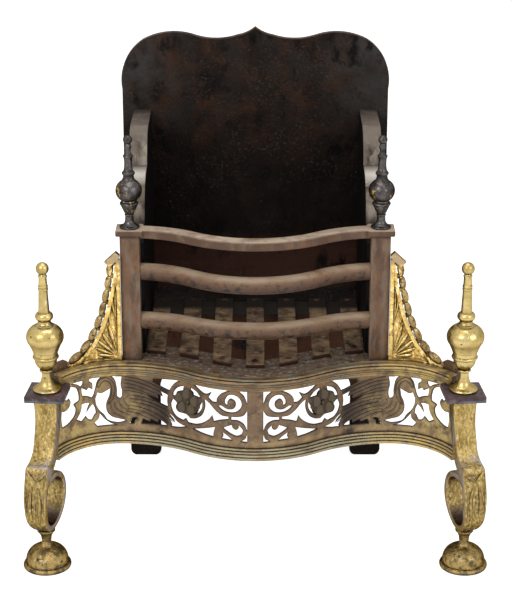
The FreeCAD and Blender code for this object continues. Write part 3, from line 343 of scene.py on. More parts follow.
for node, drop in (("middle_bar", 0.0040), ("lower_bar", 0.0015)):
    bar_low, bar_high = node_box(node)
    level = (bar_low.z + bar_high.z) / 2
    bow = POST_Y - bar_low.y - (bar_high.z - bar_low.z) / 2
    form = swept(BAR_SECTION, bowed(bow, level - drop), BAR_STEPS)
    placed(form, node + "_round", smooth_bar, node)
TOP_HALF = 0.0125
LIP = [(-0.006, -0.0045), (0.0115, -0.0045), (0.0129, -0.0031),
       (0.0129, 0.0080), (0.0120, 0.0090), (-0.006, 0.0090)]
TOP_BOW = POST_Y - node_box("top_bar")[0].y - TOP_HALF
form = swept(LIP, bowed(TOP_BOW, TOP_LEVEL), BAR_STEPS)
placed(form, "top_bar_lip", burnt)


# Fire bars: seven flat iron bars side by side that carry the fuel, riveted down to the shelf in
# front and to the rear bearer. They are scaled, rusted and dusty.
scaled = new_finish("scaled_fire_bar", metallic=0.0, roughness=0.75, shine=0.2)
scaled_dust = cloud(scaled, 0.020, 0.40, 0.68, 9.0, shift=2.0)
coats(scaled, (0.076, 0.046, 0.028),
      ((0.250, 0.160, 0.085), scaled_dust),
      ((0.230, 0.185, 0.140), cloud(scaled, 0.014, 0.56, 0.70, 8.0, shift=4.0)),
      ((0.020, 0.012, 0.008), cloud(scaled, 0.012, 0.54, 0.68, 9.0, shift=8.0)),
      # side faces of the bars painted dark as the shade in the gaps between them
      ((0.030, 0.011, 0.007), facing(scaled, UP, 0.6, 0.2)),
      ((0.012, 0.008, 0.006), along(scaled, BACK, 0.108, 0.122)))
relief(scaled, (0.0006, cloud(scaled, 0.006, 0.3, 0.8, 6.0)))
dressed("rear_bearer", scaled, edge=0.0012)
FIRE_BARS = 7
for number in range(1, FIRE_BARS + 1):
    dressed("fire_bar_%d" % number, scaled, edge=0.0012)
dressed("fire_bar_rivets", soot)


# Iron finials: turned balusters of once polished iron, screwed through the pads of the top bar
# into the posts, dark with a low sheen and a few ochre specks.
ARC_STEP = 8
BALL_STEPS = 16
SPIN_STEPS = 72
POLE_WELD = 0.000002


def arc_marks(first, middle, last):
    (ax, ay), (bx, by), (cx, cy) = first, middle, last
    twice = 2 * (ax * (by - cy) + bx * (cy - ay) + cx * (ay - by))
    a2, b2, c2 = ax * ax + ay * ay, bx * bx + by * by, cx * cx + cy * cy
    x = (a2 * (by - cy) + b2 * (cy - ay) + c2 * (ay - by)) / twice
    y = (a2 * (cx - bx) + b2 * (ax - cx) + c2 * (bx - ax)) / twice
    start = math.atan2(ay - y, ax - x)
    sweep = math.atan2(cy - y, cx - x) - start
    if (sweep > 0) != (twice > 0):
        sweep += math.copysign(math.tau, twice)
    count = max(3, math.ceil(abs(math.degrees(sweep)) / ARC_STEP))
    reach = math.hypot(ax - x, ay - y)
    turns = [start + sweep * i / count for i in range(1, count)]
    return [(x + reach * math.cos(t), y + reach * math.sin(t)) for t in turns] + [last]


def turning(start, *stretches):
    points = [start]
    for stretch in stretches:
        points += arc_marks(points[-1], *stretch) if len(stretch) == 2 else stretch
    return points


def ball(neck, radius, top):
    start = -math.acos(neck / radius)
    turns = [start + (math.pi / 2 - start) * i / BALL_STEPS for i in range(BALL_STEPS + 1)]
    return [[(radius * math.cos(a), top - radius + radius * math.sin(a))] for a in turns]


def spun(node, seat, points, finish):
    low, high = node_box(node)
    form = bmesh.new()
    verts = [form.verts.new((r / 1000, 0, h / 1000)) for r, h in points]
    edges = [form.edges.new(pair) for pair in zip(verts, verts[1:])]
    bmesh.ops.spin(form, geom=verts + edges, cent=(0, 0, 0), axis=UP, angle=math.tau, steps=SPIN_STEPS,
                   use_merge=True)
    bmesh.ops.remove_doubles(form, verts=form.verts, dist=POLE_WELD)
    bmesh.ops.holes_fill(form, edges=form.edges, sides=0)
    bmesh.ops.recalc_face_normals(form, faces=form.faces)
    bmesh.ops.translate(form, verts=form.verts, vec=((low.x + high.x) / 2, (low.y + high.y) / 2, seat))
    return placed(form, node + "_turned", finish, node)


polished = new_finish("dark_polished_iron", metallic=0.9, roughness=0.3, edge_tint=(0.15, 0.15, 0.16))
polished_wear = cloud(polished, 0.016, 0.42, 0.66, 7.0)
belly = meet(polished, above(polished, 0.568, 0.576), below(polished, 0.626, 0.618))
coats(polished, (0.088, 0.080, 0.076),
      ((0.026, 0.022, 0.021), polished_wear),
      ((0.230, 0.220, 0.212), cloud(polished, 0.007, 0.60, 0.75, 5.0, shift=5.0)),
      ((0.460, 0.280, 0.080), meet(polished, belly, cloud(polished, 0.010, 0.60, 0.64, 3.0, shift=2.2))),
      # painted shade in the hollows and creases
      ((0.010, 0.009, 0.009), painted_hollow_shade(polished, 0.008, 0.3, 0.8)))
sheen_range(polished, polished_wear, 0.22, 0.45)
relief(polished, (0.0005, cloud(polished, 0.008, 0.3, 0.8, 6.0)))
IRON_FINIAL = turning(
    (4.9, -9.0), [(4.9, 0.2)], [(15.2, 0.0)], [(16.0, 1.3), (15.4, 3.0)], [(9.2, 7.0), (6.9, 15.0)],
    [(6.5, 20.0)], [(7.6, 21.4), (6.6, 23.0)], [(9.6, 29.0), (13.2, 37.0)], [(13.4, 38.0)],
    [(14.8, 40.0), (13.8, 42.4)], [(12.4, 43.4)], [(12.8, 46.0)], [(21.0, 60.0), (11.4, 78.0)],
    [(9.0, 82.0)], [(8.4, 86.0)], [(8.8, 87.2)], [(10.4, 90.2), (8.8, 93.0)], [(7.4, 95.0)],
    [(6.3, 103.0), (6.7, 114.5)], [(7.4, 116.4)], [(8.0, 117.6), (7.6, 119.4)], [(6.6, 120.4)],
    [(4.6, 124.0), (4.4, 128.6)], [(5.8, 132.6)], [(6.0, 134.0)], [(4.6, 135.4)], *ball(4.2, 7.3, 152.0))
pad_top = node_box("top_bar")[1].z
for side in ("left", "right"):
    spun("iron_finial_" + side, pad_top, IRON_FINIAL, polished)


# Legs: heavy cast-brass straps that swing forward to a knee and curl round into a ring. The
# casting is pitted and rubbed and lilac-grey along its edges, with painted shade in its hollows,
# under the knee and inside the ring, and with a leaf and flutes raised below the knee. Studs
# hold it between the cap above and the foot below.
LEG_TURN = math.radians(18.0)
LEG_SPLAY = math.radians(2.3)
cap_low, cap_high = node_box("leg_cap_right")
CAP_LEVEL = cap_low.z
LEG_X = (cap_low.x + cap_high.x) / 2
LEG_Y = (cap_low.y + cap_high.y) / 2
LINE_WELD = 0.000001


def on_leg(side, across, front, height):
    x = across * math.cos(LEG_SPLAY) + side * (CAP_LEVEL - height) * math.sin(LEG_SPLAY)
    z = CAP_LEVEL - (CAP_LEVEL - height) * math.cos(LEG_SPLAY)
    turn = side * LEG_TURN
    return Vector((side * LEG_X + x * math.cos(turn) + front * math.sin(turn),
                   LEG_Y + x * math.sin(turn) - front * math.cos(turn), z))


def raised_lines(name, lines, finish):
    form = bmesh.new()
    for points, thick in lines:
        curve = bpy.data.curves.new(name, "CURVE")
        curve.dimensions = "3D"
        curve.bevel_depth = 1.0
        curve.bevel_resolution = 2
        curve.use_fill_caps = True
        curve.resolution_u = 5
        spline = curve.splines.new("NURBS")
        spline.points.add(len(points) - 1)
        spline.order_u = 3
        spline.use_endpoint_u = True
        for mark, point, radius in zip(spline.points, points, thick):
            mark.co = (*point, 1)
            mark.radius = radius
        holder = bpy.data.objects.new(name, curve)
        mesh = bpy.data.meshes.new_from_object(holder)
        form.from_mesh(mesh)
        bpy.data.meshes.remove(mesh)
        bpy.data.objects.remove(holder)
        bpy.data.curves.remove(curve)
    bmesh.ops.remove_doubles(form, verts=form.verts, dist=LINE_WELD)
    bmesh.ops.recalc_face_normals(form, faces=form.faces)
    return placed(form, name, finish)


STRAP_FRONT = ((0.041, 0.193), (0.046, 0.184), (0.0485, 0.168), (0.050, 0.150), (0.0502, 0.132),
               (0.0495, 0.116))
RING_FRONT = 0.0500
RING_MIDDLE = -0.0005
RING_LEVEL = 0.116


def strap_front(height):
    if height <= RING_LEVEL:
        return RING_MIDDLE + math.sqrt(max(RING_FRONT ** 2 - (RING_LEVEL - height) ** 2, 0.0))
    for (u1, z1), (u0, z0) in zip(STRAP_FRONT, STRAP_FRONT[1:]):
        if z0 <= height <= z1:
            return u0 + (u1 - u0) * (height - z0) / (z1 - z0)
    return STRAP_FRONT[0][0]


def spaced(points, count):
    runs = [math.dist(a, b) for a, b in zip(points, points[1:])]
    marks = []
    for i in range(count + 1):
        way = sum(runs) * i / count
        k = 0
        while k < len(runs) - 1 and way > runs[k]:
            way -= runs[k]
            k += 1
        marks.append([a + (b - a) * way / runs[k] for a, b in zip(points[k], points[k + 1])])
    return marks


LEG_TOP = CAP_LEVEL * 1000
LEG_FRONT = (turning((13.0, LEG_TOP), [(8.2, 256.0), (15.0, 224.0)]),
             turning((15.0, 224.0), [(23.0, 204.0), (41.0, 193.0)], [(45.0, 190.0), (46.0, 184.0)]),
             turning((46.0, 184.0), [(50.0, 150.0), (49.5, 116.0)]))
LEG_BACK = (turning((-8.0, LEG_TOP), [(-12.0, 260.0), (-6.0, 224.0)]),
            turning((-6.0, 224.0), [(1.0, 197.0), (22.0, 176.0)]),
            turning((22.0, 176.0), [(41.0, 150.0), (39.0, 116.0)]))
STRAP_WIDTH = ((LEG_TOP, 20.0), (250.0, 18.2), (202.0, 17.6), (186.0, 19.0), (150.0, 19.4), (100.0, 18.0))
CURL_INSIDE = ((0.0, 18.7), (45.0, 16.0), (80.0, 13.5), (115.0, 12.4), (310.0, 12.0))
CURL_OUTSIDE = ((0.0, 18.7), (25.0, 16.8), (50.0, 13.0), (80.0, 9.8), (115.0, 14.5), (180.0, 18.5),
                (310.0, 18.5))
CURL_INNER = 39.5
CURL_STEP = 6
CURL_END = 310
STRAP_STEPS = 12
STRAP_ROUND = 0.0022
STRAP_ARRIS = math.radians(50)


def between(marks, value):
    for (v0, w0), (v1, w1) in zip(marks, marks[1:]):
        if min(v0, v1) <= value <= max(v0, v1):
            return w0 + (w1 - w0) * (value - v0) / (v1 - v0)
    return marks[-1][1]


def strap_stations():
    stations = []
    for fore, aft in zip(LEG_FRONT, LEG_BACK):
        for front, back in zip(spaced(fore, STRAP_STEPS)[:-1], spaced(aft, STRAP_STEPS)[:-1]):
            half = between(STRAP_WIDTH, front[1])
            stations.append((front, back, half, half))
    for angle in range(0, CURL_END + 1, CURL_STEP):
        t = math.radians(angle)
        faces = [(RING_MIDDLE * 1000 + r * math.cos(t), RING_LEVEL * 1000 - r * math.sin(t))
                 for r in (RING_FRONT * 1000, CURL_INNER)]
        stations.append((*faces, between(CURL_INSIDE, angle), between(CURL_OUTSIDE, angle)))
    return stations


def curled_strap(side):
    form = bmesh.new()
    before = None
    for (fu, fz), (bu, bz), inside, outside in strap_stations():
        outline = ((-inside, fu, fz), (outside, fu, fz), (outside, bu, bz), (-inside, bu, bz))
        corners = [form.verts.new(on_leg(side, side * w / 1000, u / 1000, z / 1000)) for w, u, z in outline]
        ring = [form.edges.new((corners[i - 1], corners[i])) for i in range(4)]
        if before:
            bmesh.ops.bridge_loops(form, edges=before + ring)
        before = ring
    bmesh.ops.holes_fill(form, edges=form.edges, sides=4)
    bmesh.ops.recalc_face_normals(form, faces=form.faces)
    arrises = [e for e in form.edges if e.is_manifold and e.calc_face_angle() > STRAP_ARRIS]
    bmesh.ops.bevel(form, geom=arrises, offset=STRAP_ROUND, offset_type="OFFSET", segments=3, profile=0.5,
                    affect="EDGES", material=-1, clamp_overlap=True)
    return form


LINE_TAPER = 0.35
KNEE_LEAF = (
    (((0.0178, 0.189), (0.0130, 0.182), (0.0060, 0.175), (0.0, 0.170)), 0.0030),
    (((0.0110, 0.190), (0.0080, 0.187), (0.0040, 0.183), (0.0, 0.180)), 0.0016),
    (((0.0172, 0.182), (0.0174, 0.150), (0.0164, 0.120), (0.0128, 0.092), (0.0092, 0.076)), 0.0022),
    (((0.0050, 0.160), (0.0085, 0.146), (0.0090, 0.124), (0.0072, 0.098), (0.0040, 0.080)), 0.0034),
)
KNEE_RIB = (((0.0, 0.146), (0.0, 0.130), (0.0, 0.105), (0.0, 0.084)), 0.0016)


def laid(side, marks, thick):
    points = [on_leg(side, w, strap_front(z), z) for w, z in marks]
    taper = [LINE_TAPER] + [1.0] * (len(points) - 2) + [LINE_TAPER]
    return points, [thick * t for t in taper]


cast = new_finish("pitted_cast_brass", metallic=1.0, roughness=0.36, edge_tint=(0.10, 0.08, 0.07))
cast_dull = cloud(cast, 0.014, 0.42, 0.64, 9.0, stretch=(1.0, 1.0, 0.35))
cast_grain = cloud(cast, 0.0038, 0.46, 0.64, 4.0, stretch=(1.0, 1.0, 0.55), shift=4.0)
cast_lilac = meet(cast, cloud(cast, 0.030, 0.40, 0.56, 8.0, shift=8.0), facing(cast, FRONT, 0.80, 0.50))
coats(cast, (0.365, 0.257, 0.088),
      ((0.205, 0.130, 0.038), cast_dull),
      ((0.250, 0.168, 0.060), below(cast, 0.20, 0.15)),
      ((0.500, 0.385, 0.160), cast_grain),
      ((0.150, 0.090, 0.030), cloud(cast, 0.0042, 0.56, 0.68, 5.0, stretch=(1.0, 1.0, 0.6), shift=1.7)),
      ((0.360, 0.310, 0.265), cast_lilac),
      # painted shade: down-facing surfaces under the knee and at the ring's inner top, up-facing surfaces at
      # the ring's inner bottom, and the hollows
      ((0.060, 0.034, 0.036), meet(cast, facing(cast, DOWN, 0.30, 0.85), above(cast, 0.13, 0.14))),
      ((0.070, 0.045, 0.030), meet(cast, facing(cast, UP, 0.35, 0.90), below(cast, 0.105, 0.095))),
      ((0.085, 0.040, 0.030), painted_hollow_shade(cast, 0.060, 0.22, 0.55)),
      ((0.024, 0.013, 0.008), painted_hollow_shade(cast, 0.010, 0.40, 0.92)))
sheen_range(cast, cast_dull, 0.30, 0.5)
relief(cast, (0.0007, cloud(cast, 0.0045, 0.35, 0.75, 5.0)),
       (0.0008, cloud(cast, 0.016, 0.3, 0.7, 4.0, shift=6.0)))
for name, side in (("left", -1), ("right", 1)):
    placed(curled_strap(side), "leg_%s_strap" % name, cast, "leg_" + name)
    lines = [laid(side, [(edge * w, z) for w, z in marks], thick)
             for edge in (-1, 1) for marks, thick in KNEE_LEAF]
    lines.append(laid(side, *KNEE_RIB))
    raised_lines("knee_leaf_" + name, lines, cast)


# Feet: turned brass domes on a flat rim, each with a waisted neck and a stud up into its leg.
# They are the same brass as the legs, darker and more mottled near the floor.
footed = new_finish("mottled_foot_brass", metallic=1.0, roughness=0.36, edge_tint=(0.08, 0.06, 0.05))
foot_dark = cloud(footed, 0.014, 0.44, 0.60, 8.0, shift=3.0)
coats(footed, (0.340, 0.235, 0.088),
      ((0.11, 0.085, 0.038), foot_dark),
      ((0.050, 0.038, 0.024), cloud(footed, 0.009, 0.56, 0.68, 7.0, shift=5.0)),
      ((0.30, 0.27, 0.21), cloud(footed, 0.010, 0.60, 0.72, 6.0, shift=9.0)),
      # painted shade in the hollows
      ((0.04, 0.028, 0.018), painted_hollow_shade(footed, 0.012, 0.3, 0.85)))
sheen_range(footed, foot_dark, 0.24, 0.5)
relief(footed, (0.0008, cloud(footed, 0.006, 0.35, 0.75, 5.0)))
FOOT = turning(
    (34.5, 0.0), [(37.6, 0.8)], [(39.0, 4.5), (36.8, 8.2)], [(34.2, 8.8)], [(34.2, 10.0)],
    [(31.0, 25.5), (14.5, 37.0)], [(13.0, 37.6)], [(8.9, 41.0), (8.2, 48.5)], [(9.8, 57.0), (14.6, 64.0)],
    [(15.0, 66.0)], [(13.4, 67.8)], [(6.0, 68.2)])
for side in ("left", "right"):
    spun("foot_" + side, 0.0, FOOT, footed)


# Leg caps: square iron plates on the legs, purple-brown with a blue-grey rubbed lower edge. The
# finial's stud passes through them.
capped = new_finish("purple_brown_iron", metallic=0.0, roughness=0.5, shine=0.2)
cap_edge = meet(capped, below(capped, CAP_LEVEL + 0.0055, CAP_LEVEL + 0.0035),
                cloud(capped, 0.02, 0.3, 0.6, 7.0, shift=6.0))
coats(capped, (0.090, 0.054, 0.056),
      ((0.034, 0.024, 0.027), cloud(capped, 0.02, 0.42, 0.66, 8.0)),
      ((0.20, 0.15, 0.13), cloud(capped, 0.012, 0.55, 0.72, 7.0, shift=3.0)),
      ((0.155, 0.160, 0.185), cap_edge))
relief(capped, (0.0008, cloud(capped, 0.006, 0.3, 0.8, 6.0)))
for side in ("left", "right"):
    dressed("leg_cap_" + side, capped, edge=0.0014)


# Brass finials: turned urns with a tall spire and a ball, polished bright and worn. A stud
# screws each down through the cap into its leg.
bright = new_finish("bright_turned_brass", metallic=1.0, roughness=0.24, edge_tint=(0.30, 0.22, 0.10))
skin(bright, "Coat Weight").default_value = 0.30
skin(bright, "Coat Roughness").default_value = 0.18
bright_dull = cloud(bright, 0.022, 0.44, 0.66, 8.0)
coats(bright, (0.530, 0.405, 0.155),
      ((0.360, 0.262, 0.086), bright_dull),
      ((0.640, 0.560, 0.370), cloud(bright, 0.014, 0.58, 0.74, 6.0, shift=6.0)),
      ((0.10, 0.07, 0.03), cloud(bright, 0.006, 0.64, 0.70, 3.0, shift=2.7)),
      # painted reflection of dark surroundings on down-facing surfaces, then painted shade in the hollows
      ((0.290, 0.205, 0.066), facing(bright, DOWN, 0.05, 0.75)),
      ((0.040, 0.024, 0.009), painted_hollow_shade(bright, 0.010, 0.45, 0.95)))
sheen_range(bright, bright_dull, 0.26, 0.42)
relief(bright, (0.0003, cloud(bright, 0.006, 0.35, 0.75, 4.0)),
       (0.0006, cloud(bright, 0.03, 0.3, 0.7, 2.0, shift=4.0)))
BRASS_FINIAL = turning(
    (5.0, -8.0), [(5.0, 0.2)], [(21.6, 0.0)], [(22.8, 2.2), (21.8, 4.4)], [(20.4, 5.2)],
    [(13.4, 9.6), (9.4, 17.0)], [(7.7, 24.0), (7.4, 31.5)], [(8.8, 32.0)], [(10.8, 34.2), (9.6, 36.4)],
    [(9.0, 36.9)], [(14.8, 43.0), (18.0, 54.0)], [(19.4, 54.8)], [(20.8, 57.0), (20.0, 59.2)],
    [(19.0, 60.0)], [(19.4, 66.0)], [(20.4, 66.8)], [(20.6, 68.2)], [(25.4, 79.0)],
    [(29.6, 92.6), (24.8, 103.6)], [(20.8, 107.4), (15.6, 109.6)], [(14.4, 110.0)], [(14.2, 111.6)],
    [(12.4, 112.4)], [(10.7, 114.6), (10.4, 118.0)], [(11.6, 119.6)], [(14.3, 125.4), (11.2, 131.0)],
    [(8.9, 131.8)], [(8.7, 132.8)], [(7.1, 168.0)], [(7.8, 168.6)], [(7.8, 171.4)], [(7.2, 172.0)],
    [(7.2, 173.0)], [(7.8, 173.6)], [(7.8, 176.0)], [(6.8, 176.8)], [(6.2, 189.0)], [(7.0, 191.0)],
    [(7.0, 192.6)], [(5.8, 193.8)], *ball(5.4, 10.2, 214.0))
for side in ("left", "right"):
    spun("brass_finial_" + side, cap_high.z, BRASS_FINIAL, bright)


# Apron: a pierced brass fret of swans, flowers and scrolls, sawn from sheet and bent to the
# serpentine front. Its swans and flowers are raised a little and chased. Heat has browned the
# sheet and left it golden near the legs and along its rails.
BOW_RADIUS = 0.171
FLANK_RADIUS = 0.209
HORN_RADIUS = 0.113
BOW_TURN = math.radians(35.0)
HORN_TURN = math.radians(68.0)
BOW_FRONT = node_box("base_plate")[0].y
BOW_Y = BOW_FRONT + BOW_RADIUS
FLANK_X = (BOW_RADIUS + FLANK_RADIUS) * math.sin(BOW_TURN)
FLANK_Y = BOW_Y - (BOW_RADIUS + FLANK_RADIUS) * math.cos(BOW_TURN)
HORN_Y = FLANK_Y + FLANK_RADIUS - HORN_RADIUS
FRET_THICK = 0.0032
FRET_RISE = 0.011
FRET_HEIGHT = 0.105
FRET_TOP = CAP_LEVEL + FRET_RISE
FRET_BOTTOM = FRET_TOP - FRET_HEIGHT
REED_STEPS = 36
SAW_STEPS = 5
SAW_CLOSED = 0.01


def serpentine(horn):
    return [
        (Vector((-FLANK_X, HORN_Y, 0)), HORN_RADIUS, -1, -horn, 0.0),
        (Vector((-FLANK_X, FLANK_Y, 0)), FLANK_RADIUS, -1, 0.0, BOW_TURN),
        (Vector((0, BOW_Y, 0)), BOW_RADIUS, 1, -BOW_TURN, BOW_TURN),
        (Vector((FLANK_X, FLANK_Y, 0)), FLANK_RADIUS, -1, -BOW_TURN, 0.0),
        (Vector((FLANK_X, HORN_Y, 0)), HORN_RADIUS, -1, 0.0, horn),
    ]


def on_front(side, x, z, forward):
    if x < BOW_RADIUS * math.sin(BOW_TURN):
        y = BOW_Y - math.sqrt((BOW_RADIUS + forward) ** 2 - x ** 2)
    elif x < FLANK_X:
        y = FLANK_Y + math.sqrt((FLANK_RADIUS - forward) ** 2 - (x - FLANK_X) ** 2)
    else:
        y = HORN_Y + math.sqrt((HORN_RADIUS - forward) ** 2 - (x - FLANK_X) ** 2)
    return Vector((side * x, y, z))


def sawn_line(start, *stretches):
    points = [Vector(start)]
    for stretch in stretches:
        run = [points[-1]] + [Vector(p) for p in stretch]
        for k in range(len(run) - 1):
            before = run[k - 1] if k else run[0] * 2 - run[1]
            after = run[k + 2] if k + 2 < len(run) else run[-1] * 2 - run[-2]
            steps = SAW_STEPS if len(run) > 2 else 1
            for i in range(1, steps + 1):
                t = i / steps
                points.append(0.5 * (2 * run[k] + (run[k + 1] - before) * t
                                     + (2 * before - 5 * run[k] + 4 * run[k + 1] - after) * t ** 2
                                     + (3 * run[k] - 3 * run[k + 1] + after - before) * t ** 3))
    if (points[0] - points[-1]).length < SAW_CLOSED:
        points.pop()
    return points


FRET_WINDOWS = [
    ((13, 305), [(27, 305)], [(18, 297), (13, 284)]),
    ((13, 272), [(18, 264), (26, 261), (38, 260)], [(38, 254)], [(28, 254), (18, 248), (13, 237)]),
    ((13, 231), [(16, 223), (24, 218)], [(13, 217)]),
    ((60, 277), [(52, 270), (42, 267), (30, 269), (22, 279), (24, 291), (33, 298), (43, 297), (48, 289)],
     [(48, 282), (45, 279)], [(44, 286), (39, 291), (32, 287), (31, 280), (36, 274), (45, 273), (54, 278)]),
    ((41, 305), [(54, 298), (61, 289), (62, 282)], [(68, 282), (75, 288)], [(70, 298)],
     [(79, 293), (88, 297), (99, 306)]),
    ((43, 260), [(54, 261), (64, 268), (73, 278), (81, 284)], [(80, 271), (85, 256), (95, 247), (105, 244)],
     [(111, 249), (116, 250)], [(125, 251), (129, 258), (127, 266), (133, 272)],
     [(136, 261), (133, 249), (127, 241), (117, 237)], [(112, 242)], [(108, 235)],
     [(95, 236), (83, 242), (74, 250)], [(69, 258)], [(66, 248)], [(56, 252), (43, 255)]),
    ((115, 298), [(124, 294), (130, 287), (133, 278)], [(129, 277)], [(126, 285), (117, 289)]),
    ((103, 298), [(94, 293), (87, 284)], [(94, 285)], [(100, 286), (103, 291)]),
    ((85, 277), [(86, 266), (91, 257), (98, 252)], [(99, 257), (95, 262)], [(89, 266), (89, 274)]),
    ((119, 306), [(128, 301), (135, 293), (139, 285)], [(150, 289), (166, 297)], [(166, 302)]),
    ((142, 277), [(154, 282)], [(150, 273)], [(160, 277)], [(158, 269)], [(177, 274)], [(166, 266)],
     [(153, 260), (142, 256)], [(143, 267), (142, 277)]),
    ((110, 227), [(119, 229), (127, 233), (134, 241), (143, 247)], [(132, 235)], [(130, 230)],
     [(141, 239)], [(135, 225)], [(138, 222)], [(124, 223), (110, 227)]),
    ((143, 222), [(148, 227), (157, 232)], [(159, 226)], [(170, 231)], [(172, 226)], [(183, 230)],
     [(186, 221)]),
    ((193, 232), [(201, 231)], [(202, 226), (205, 223)], [(205, 220)], [(198, 220)],
     [(196, 226), (192, 229)]),
    ((68, 221), [(67, 229), (64, 239)], [(82, 233), (101, 227)], [(84, 223), (68, 221)]),
    ((52, 239), [(45, 243), (38, 246)], [(36, 241), (31, 238), (27, 241), (26, 246)],
     [(20, 238), (22, 230)], [(30, 227), (40, 231), (52, 239)]),
    ((36, 219), [(44, 226), (53, 232)], [(51, 226), (54, 220)]),
    ((217, 304), [(219, 290), (217, 278), (218, 268), (221, 265), (225, 269), (225, 280), (227, 294)],
     [(230, 300), (235, 304)]),
    ((236, 283), [(243, 279), (250, 276), (256, 278)], [(260, 267)],
     [(259, 256), (254, 245), (247, 237), (241, 227), (232, 223)], [(222, 222), (210, 226)],
     [(222, 229), (234, 233), (242, 243), (243, 257), (238, 270), (236, 283)]),
    ((251, 304), [(257, 297), (260, 286), (263, 275)], [(266, 270)], [(273, 274), (280, 276)],
     [(281, 283), (281, 291)], [(273, 285)], [(270, 289)], [(264, 285)], [(264, 294)], [(269, 299)],
     [(268, 304)]),
    ((279, 303), [(280, 297), (283, 293)], [(288, 298), (296, 302)], [(296, 303)]),
    ((225, 218), [(235, 221), (245, 229), (254, 241)], [(255, 233), (263, 225)], [(258, 218)]),
    ((264, 259), [(269, 254), (275, 245)], [(273, 254), (269, 262)], [(275, 263), (281, 262)],
     [(283, 250), (290, 237)], [(283, 232)], [(276, 240)], [(272, 233), (267, 231)],
     [(263, 239), (260, 242)], [(261, 251), (264, 259)]),
    ((296, 298), [(289, 293), (286, 281), (286, 270)], [(294, 266)], [(291, 257), (294, 245), (301, 237)],
     [(306, 234), (311, 233)], [(312, 247), (311, 261)], [(305, 260), (300, 264), (298, 271), (301, 279)],
     [(304, 276)], [(307, 282), (303, 293), (296, 298)]),
]
FEATHERS = [
    ((142, 281), (165, 291), (190, 300), (212, 303)), ((151, 279), (172, 286), (195, 295), (214, 298)),
    ((160, 276), (178, 282), (198, 289), (215, 292)), ((162, 271), (180, 276), (200, 283), (214, 285)),
    ((177, 273), (192, 275), (206, 278), (214, 279)), ((143, 255), (160, 261), (182, 268), (206, 271)),
    ((142, 249), (160, 255), (182, 262), (205, 265)), ((133, 231), (150, 244), (172, 254), (202, 259)),
    ((138, 225), (155, 237), (176, 247), (204, 253)), ((158, 231), (172, 238), (190, 244), (208, 247)),
    ((171, 230), (184, 235), (198, 240), (212, 242)),
    ((212, 230), (227, 235), (236, 245), (236, 258)), ((207, 236), (220, 240), (229, 248), (230, 259)),
    ((206, 244), (214, 246), (221, 252), (223, 261)), ((205, 251), (210, 253), (214, 258), (215, 265)),
]
NECK = ((240, 255), (234, 264), (231, 276), (231, 288), (237, 298), (246, 301), (253, 296), (256, 287))
NECK_THICK = (0.0010, 0.0026, 0.0028, 0.0026, 0.0026, 0.0028, 0.0032, 0.0016)
NECK_LIFT = -0.0014
QUILL_THICK = (0.0005, 0.0011, 0.0011, 0.0005)
QUILL_LIFT = 0.0002
FLOWER = (0.1085, 0.2715)
PETALS = 5
PETAL_SPREAD = 0.0132
PETAL_SIZE = 0.0098
PETAL_RISE = 0.0022
PETAL_LIFT = -0.0006
BOSS_SIZE = 0.0042
BOSS_RISE = 0.0032
SAW_BACK = -0.05
SAW_FRONT = -0.26


def dome(form, place, across, rise):
    shape = bmesh.ops.create_uvsphere(form, u_segments=24, v_segments=16, radius=1.0)
    bmesh.ops.scale(form, verts=shape["verts"], vec=(across, rise, across))
    bmesh.ops.translate(form, verts=shape["verts"], vec=place)


def browned(name, edge):
    brown = new_finish(name, metallic=0.7, roughness=0.45)
    near_legs = meet(brown, outward(brown, 0.22, 0.31), cloud(brown, 0.016, 0.36, 0.56, 8.0))
    low_rail = meet(brown, below(brown, 0.224, 0.214), cloud(brown, 0.02, 0.36, 0.6, 7.0, shift=3.0))
    high_rail = meet(brown, above(brown, 0.298, 0.306), cloud(brown, 0.03, 0.40, 0.6, 8.0, shift=5.0))
    # A painted gold highlight on the middle of each swan.
    swan_gold_highlight = meet(brown, outward(brown, 0.170, 0.190), outward(brown, 0.225, 0.205),
                     below(brown, 0.282, 0.268), cloud(brown, 0.010, 0.40, 0.60, 7.0, shift=2.0))
    swan_dark = meet(brown, outward(brown, 0.135, 0.145), outward(brown, 0.216, 0.206),
                     cloud(brown, 0.018, 0.38, 0.62, 7.0, shift=8.0))
    tail_dark = meet(brown, outward(brown, 0.178, 0.152), outward(brown, 0.139, 0.144))
    flower_dark = meet(brown, outward(brown, 0.083, 0.088), outward(brown, 0.134, 0.129),
                       above(brown, 0.246, 0.250), below(brown, 0.297, 0.293))
    coats(brown, (0.165, 0.106, 0.064),
          ((0.080, 0.052, 0.036), cloud(brown, 0.020, 0.46, 0.68, 9.0)),
          ((0.240, 0.170, 0.090), cloud(brown, 0.010, 0.52, 0.72, 8.0, shift=4.4)),
          ((0.085, 0.064, 0.048), swan_dark),
          ((0.082, 0.062, 0.038), flower_dark),
          ((0.046, 0.033, 0.024), tail_dark),
          # painted highlight on the swans
          ((0.290, 0.215, 0.095), swan_gold_highlight),
          ((0.300, 0.205, 0.105), low_rail),
          ((0.360, 0.200, 0.070), high_rail),
          ((0.50, 0.37, 0.14), near_legs),
          # painted shade: the sawn walls of the windows, dark outlines along the thin sawn edges, and the
          # hollows
          ((0.030, 0.019, 0.012), facing(brown, FRONT, 0.45, 0.25)),
          ((0.055, 0.036, 0.023), painted_hollow_shade(brown, edge, 0.55, 0.92, inside=True)),
          ((0.022, 0.014, 0.010), painted_hollow_shade(brown, 0.006, 0.45, 0.95)))
    relief(brown, (0.0006, cloud(brown, 0.005, 0.35, 0.75, 6.0)))
    return brown


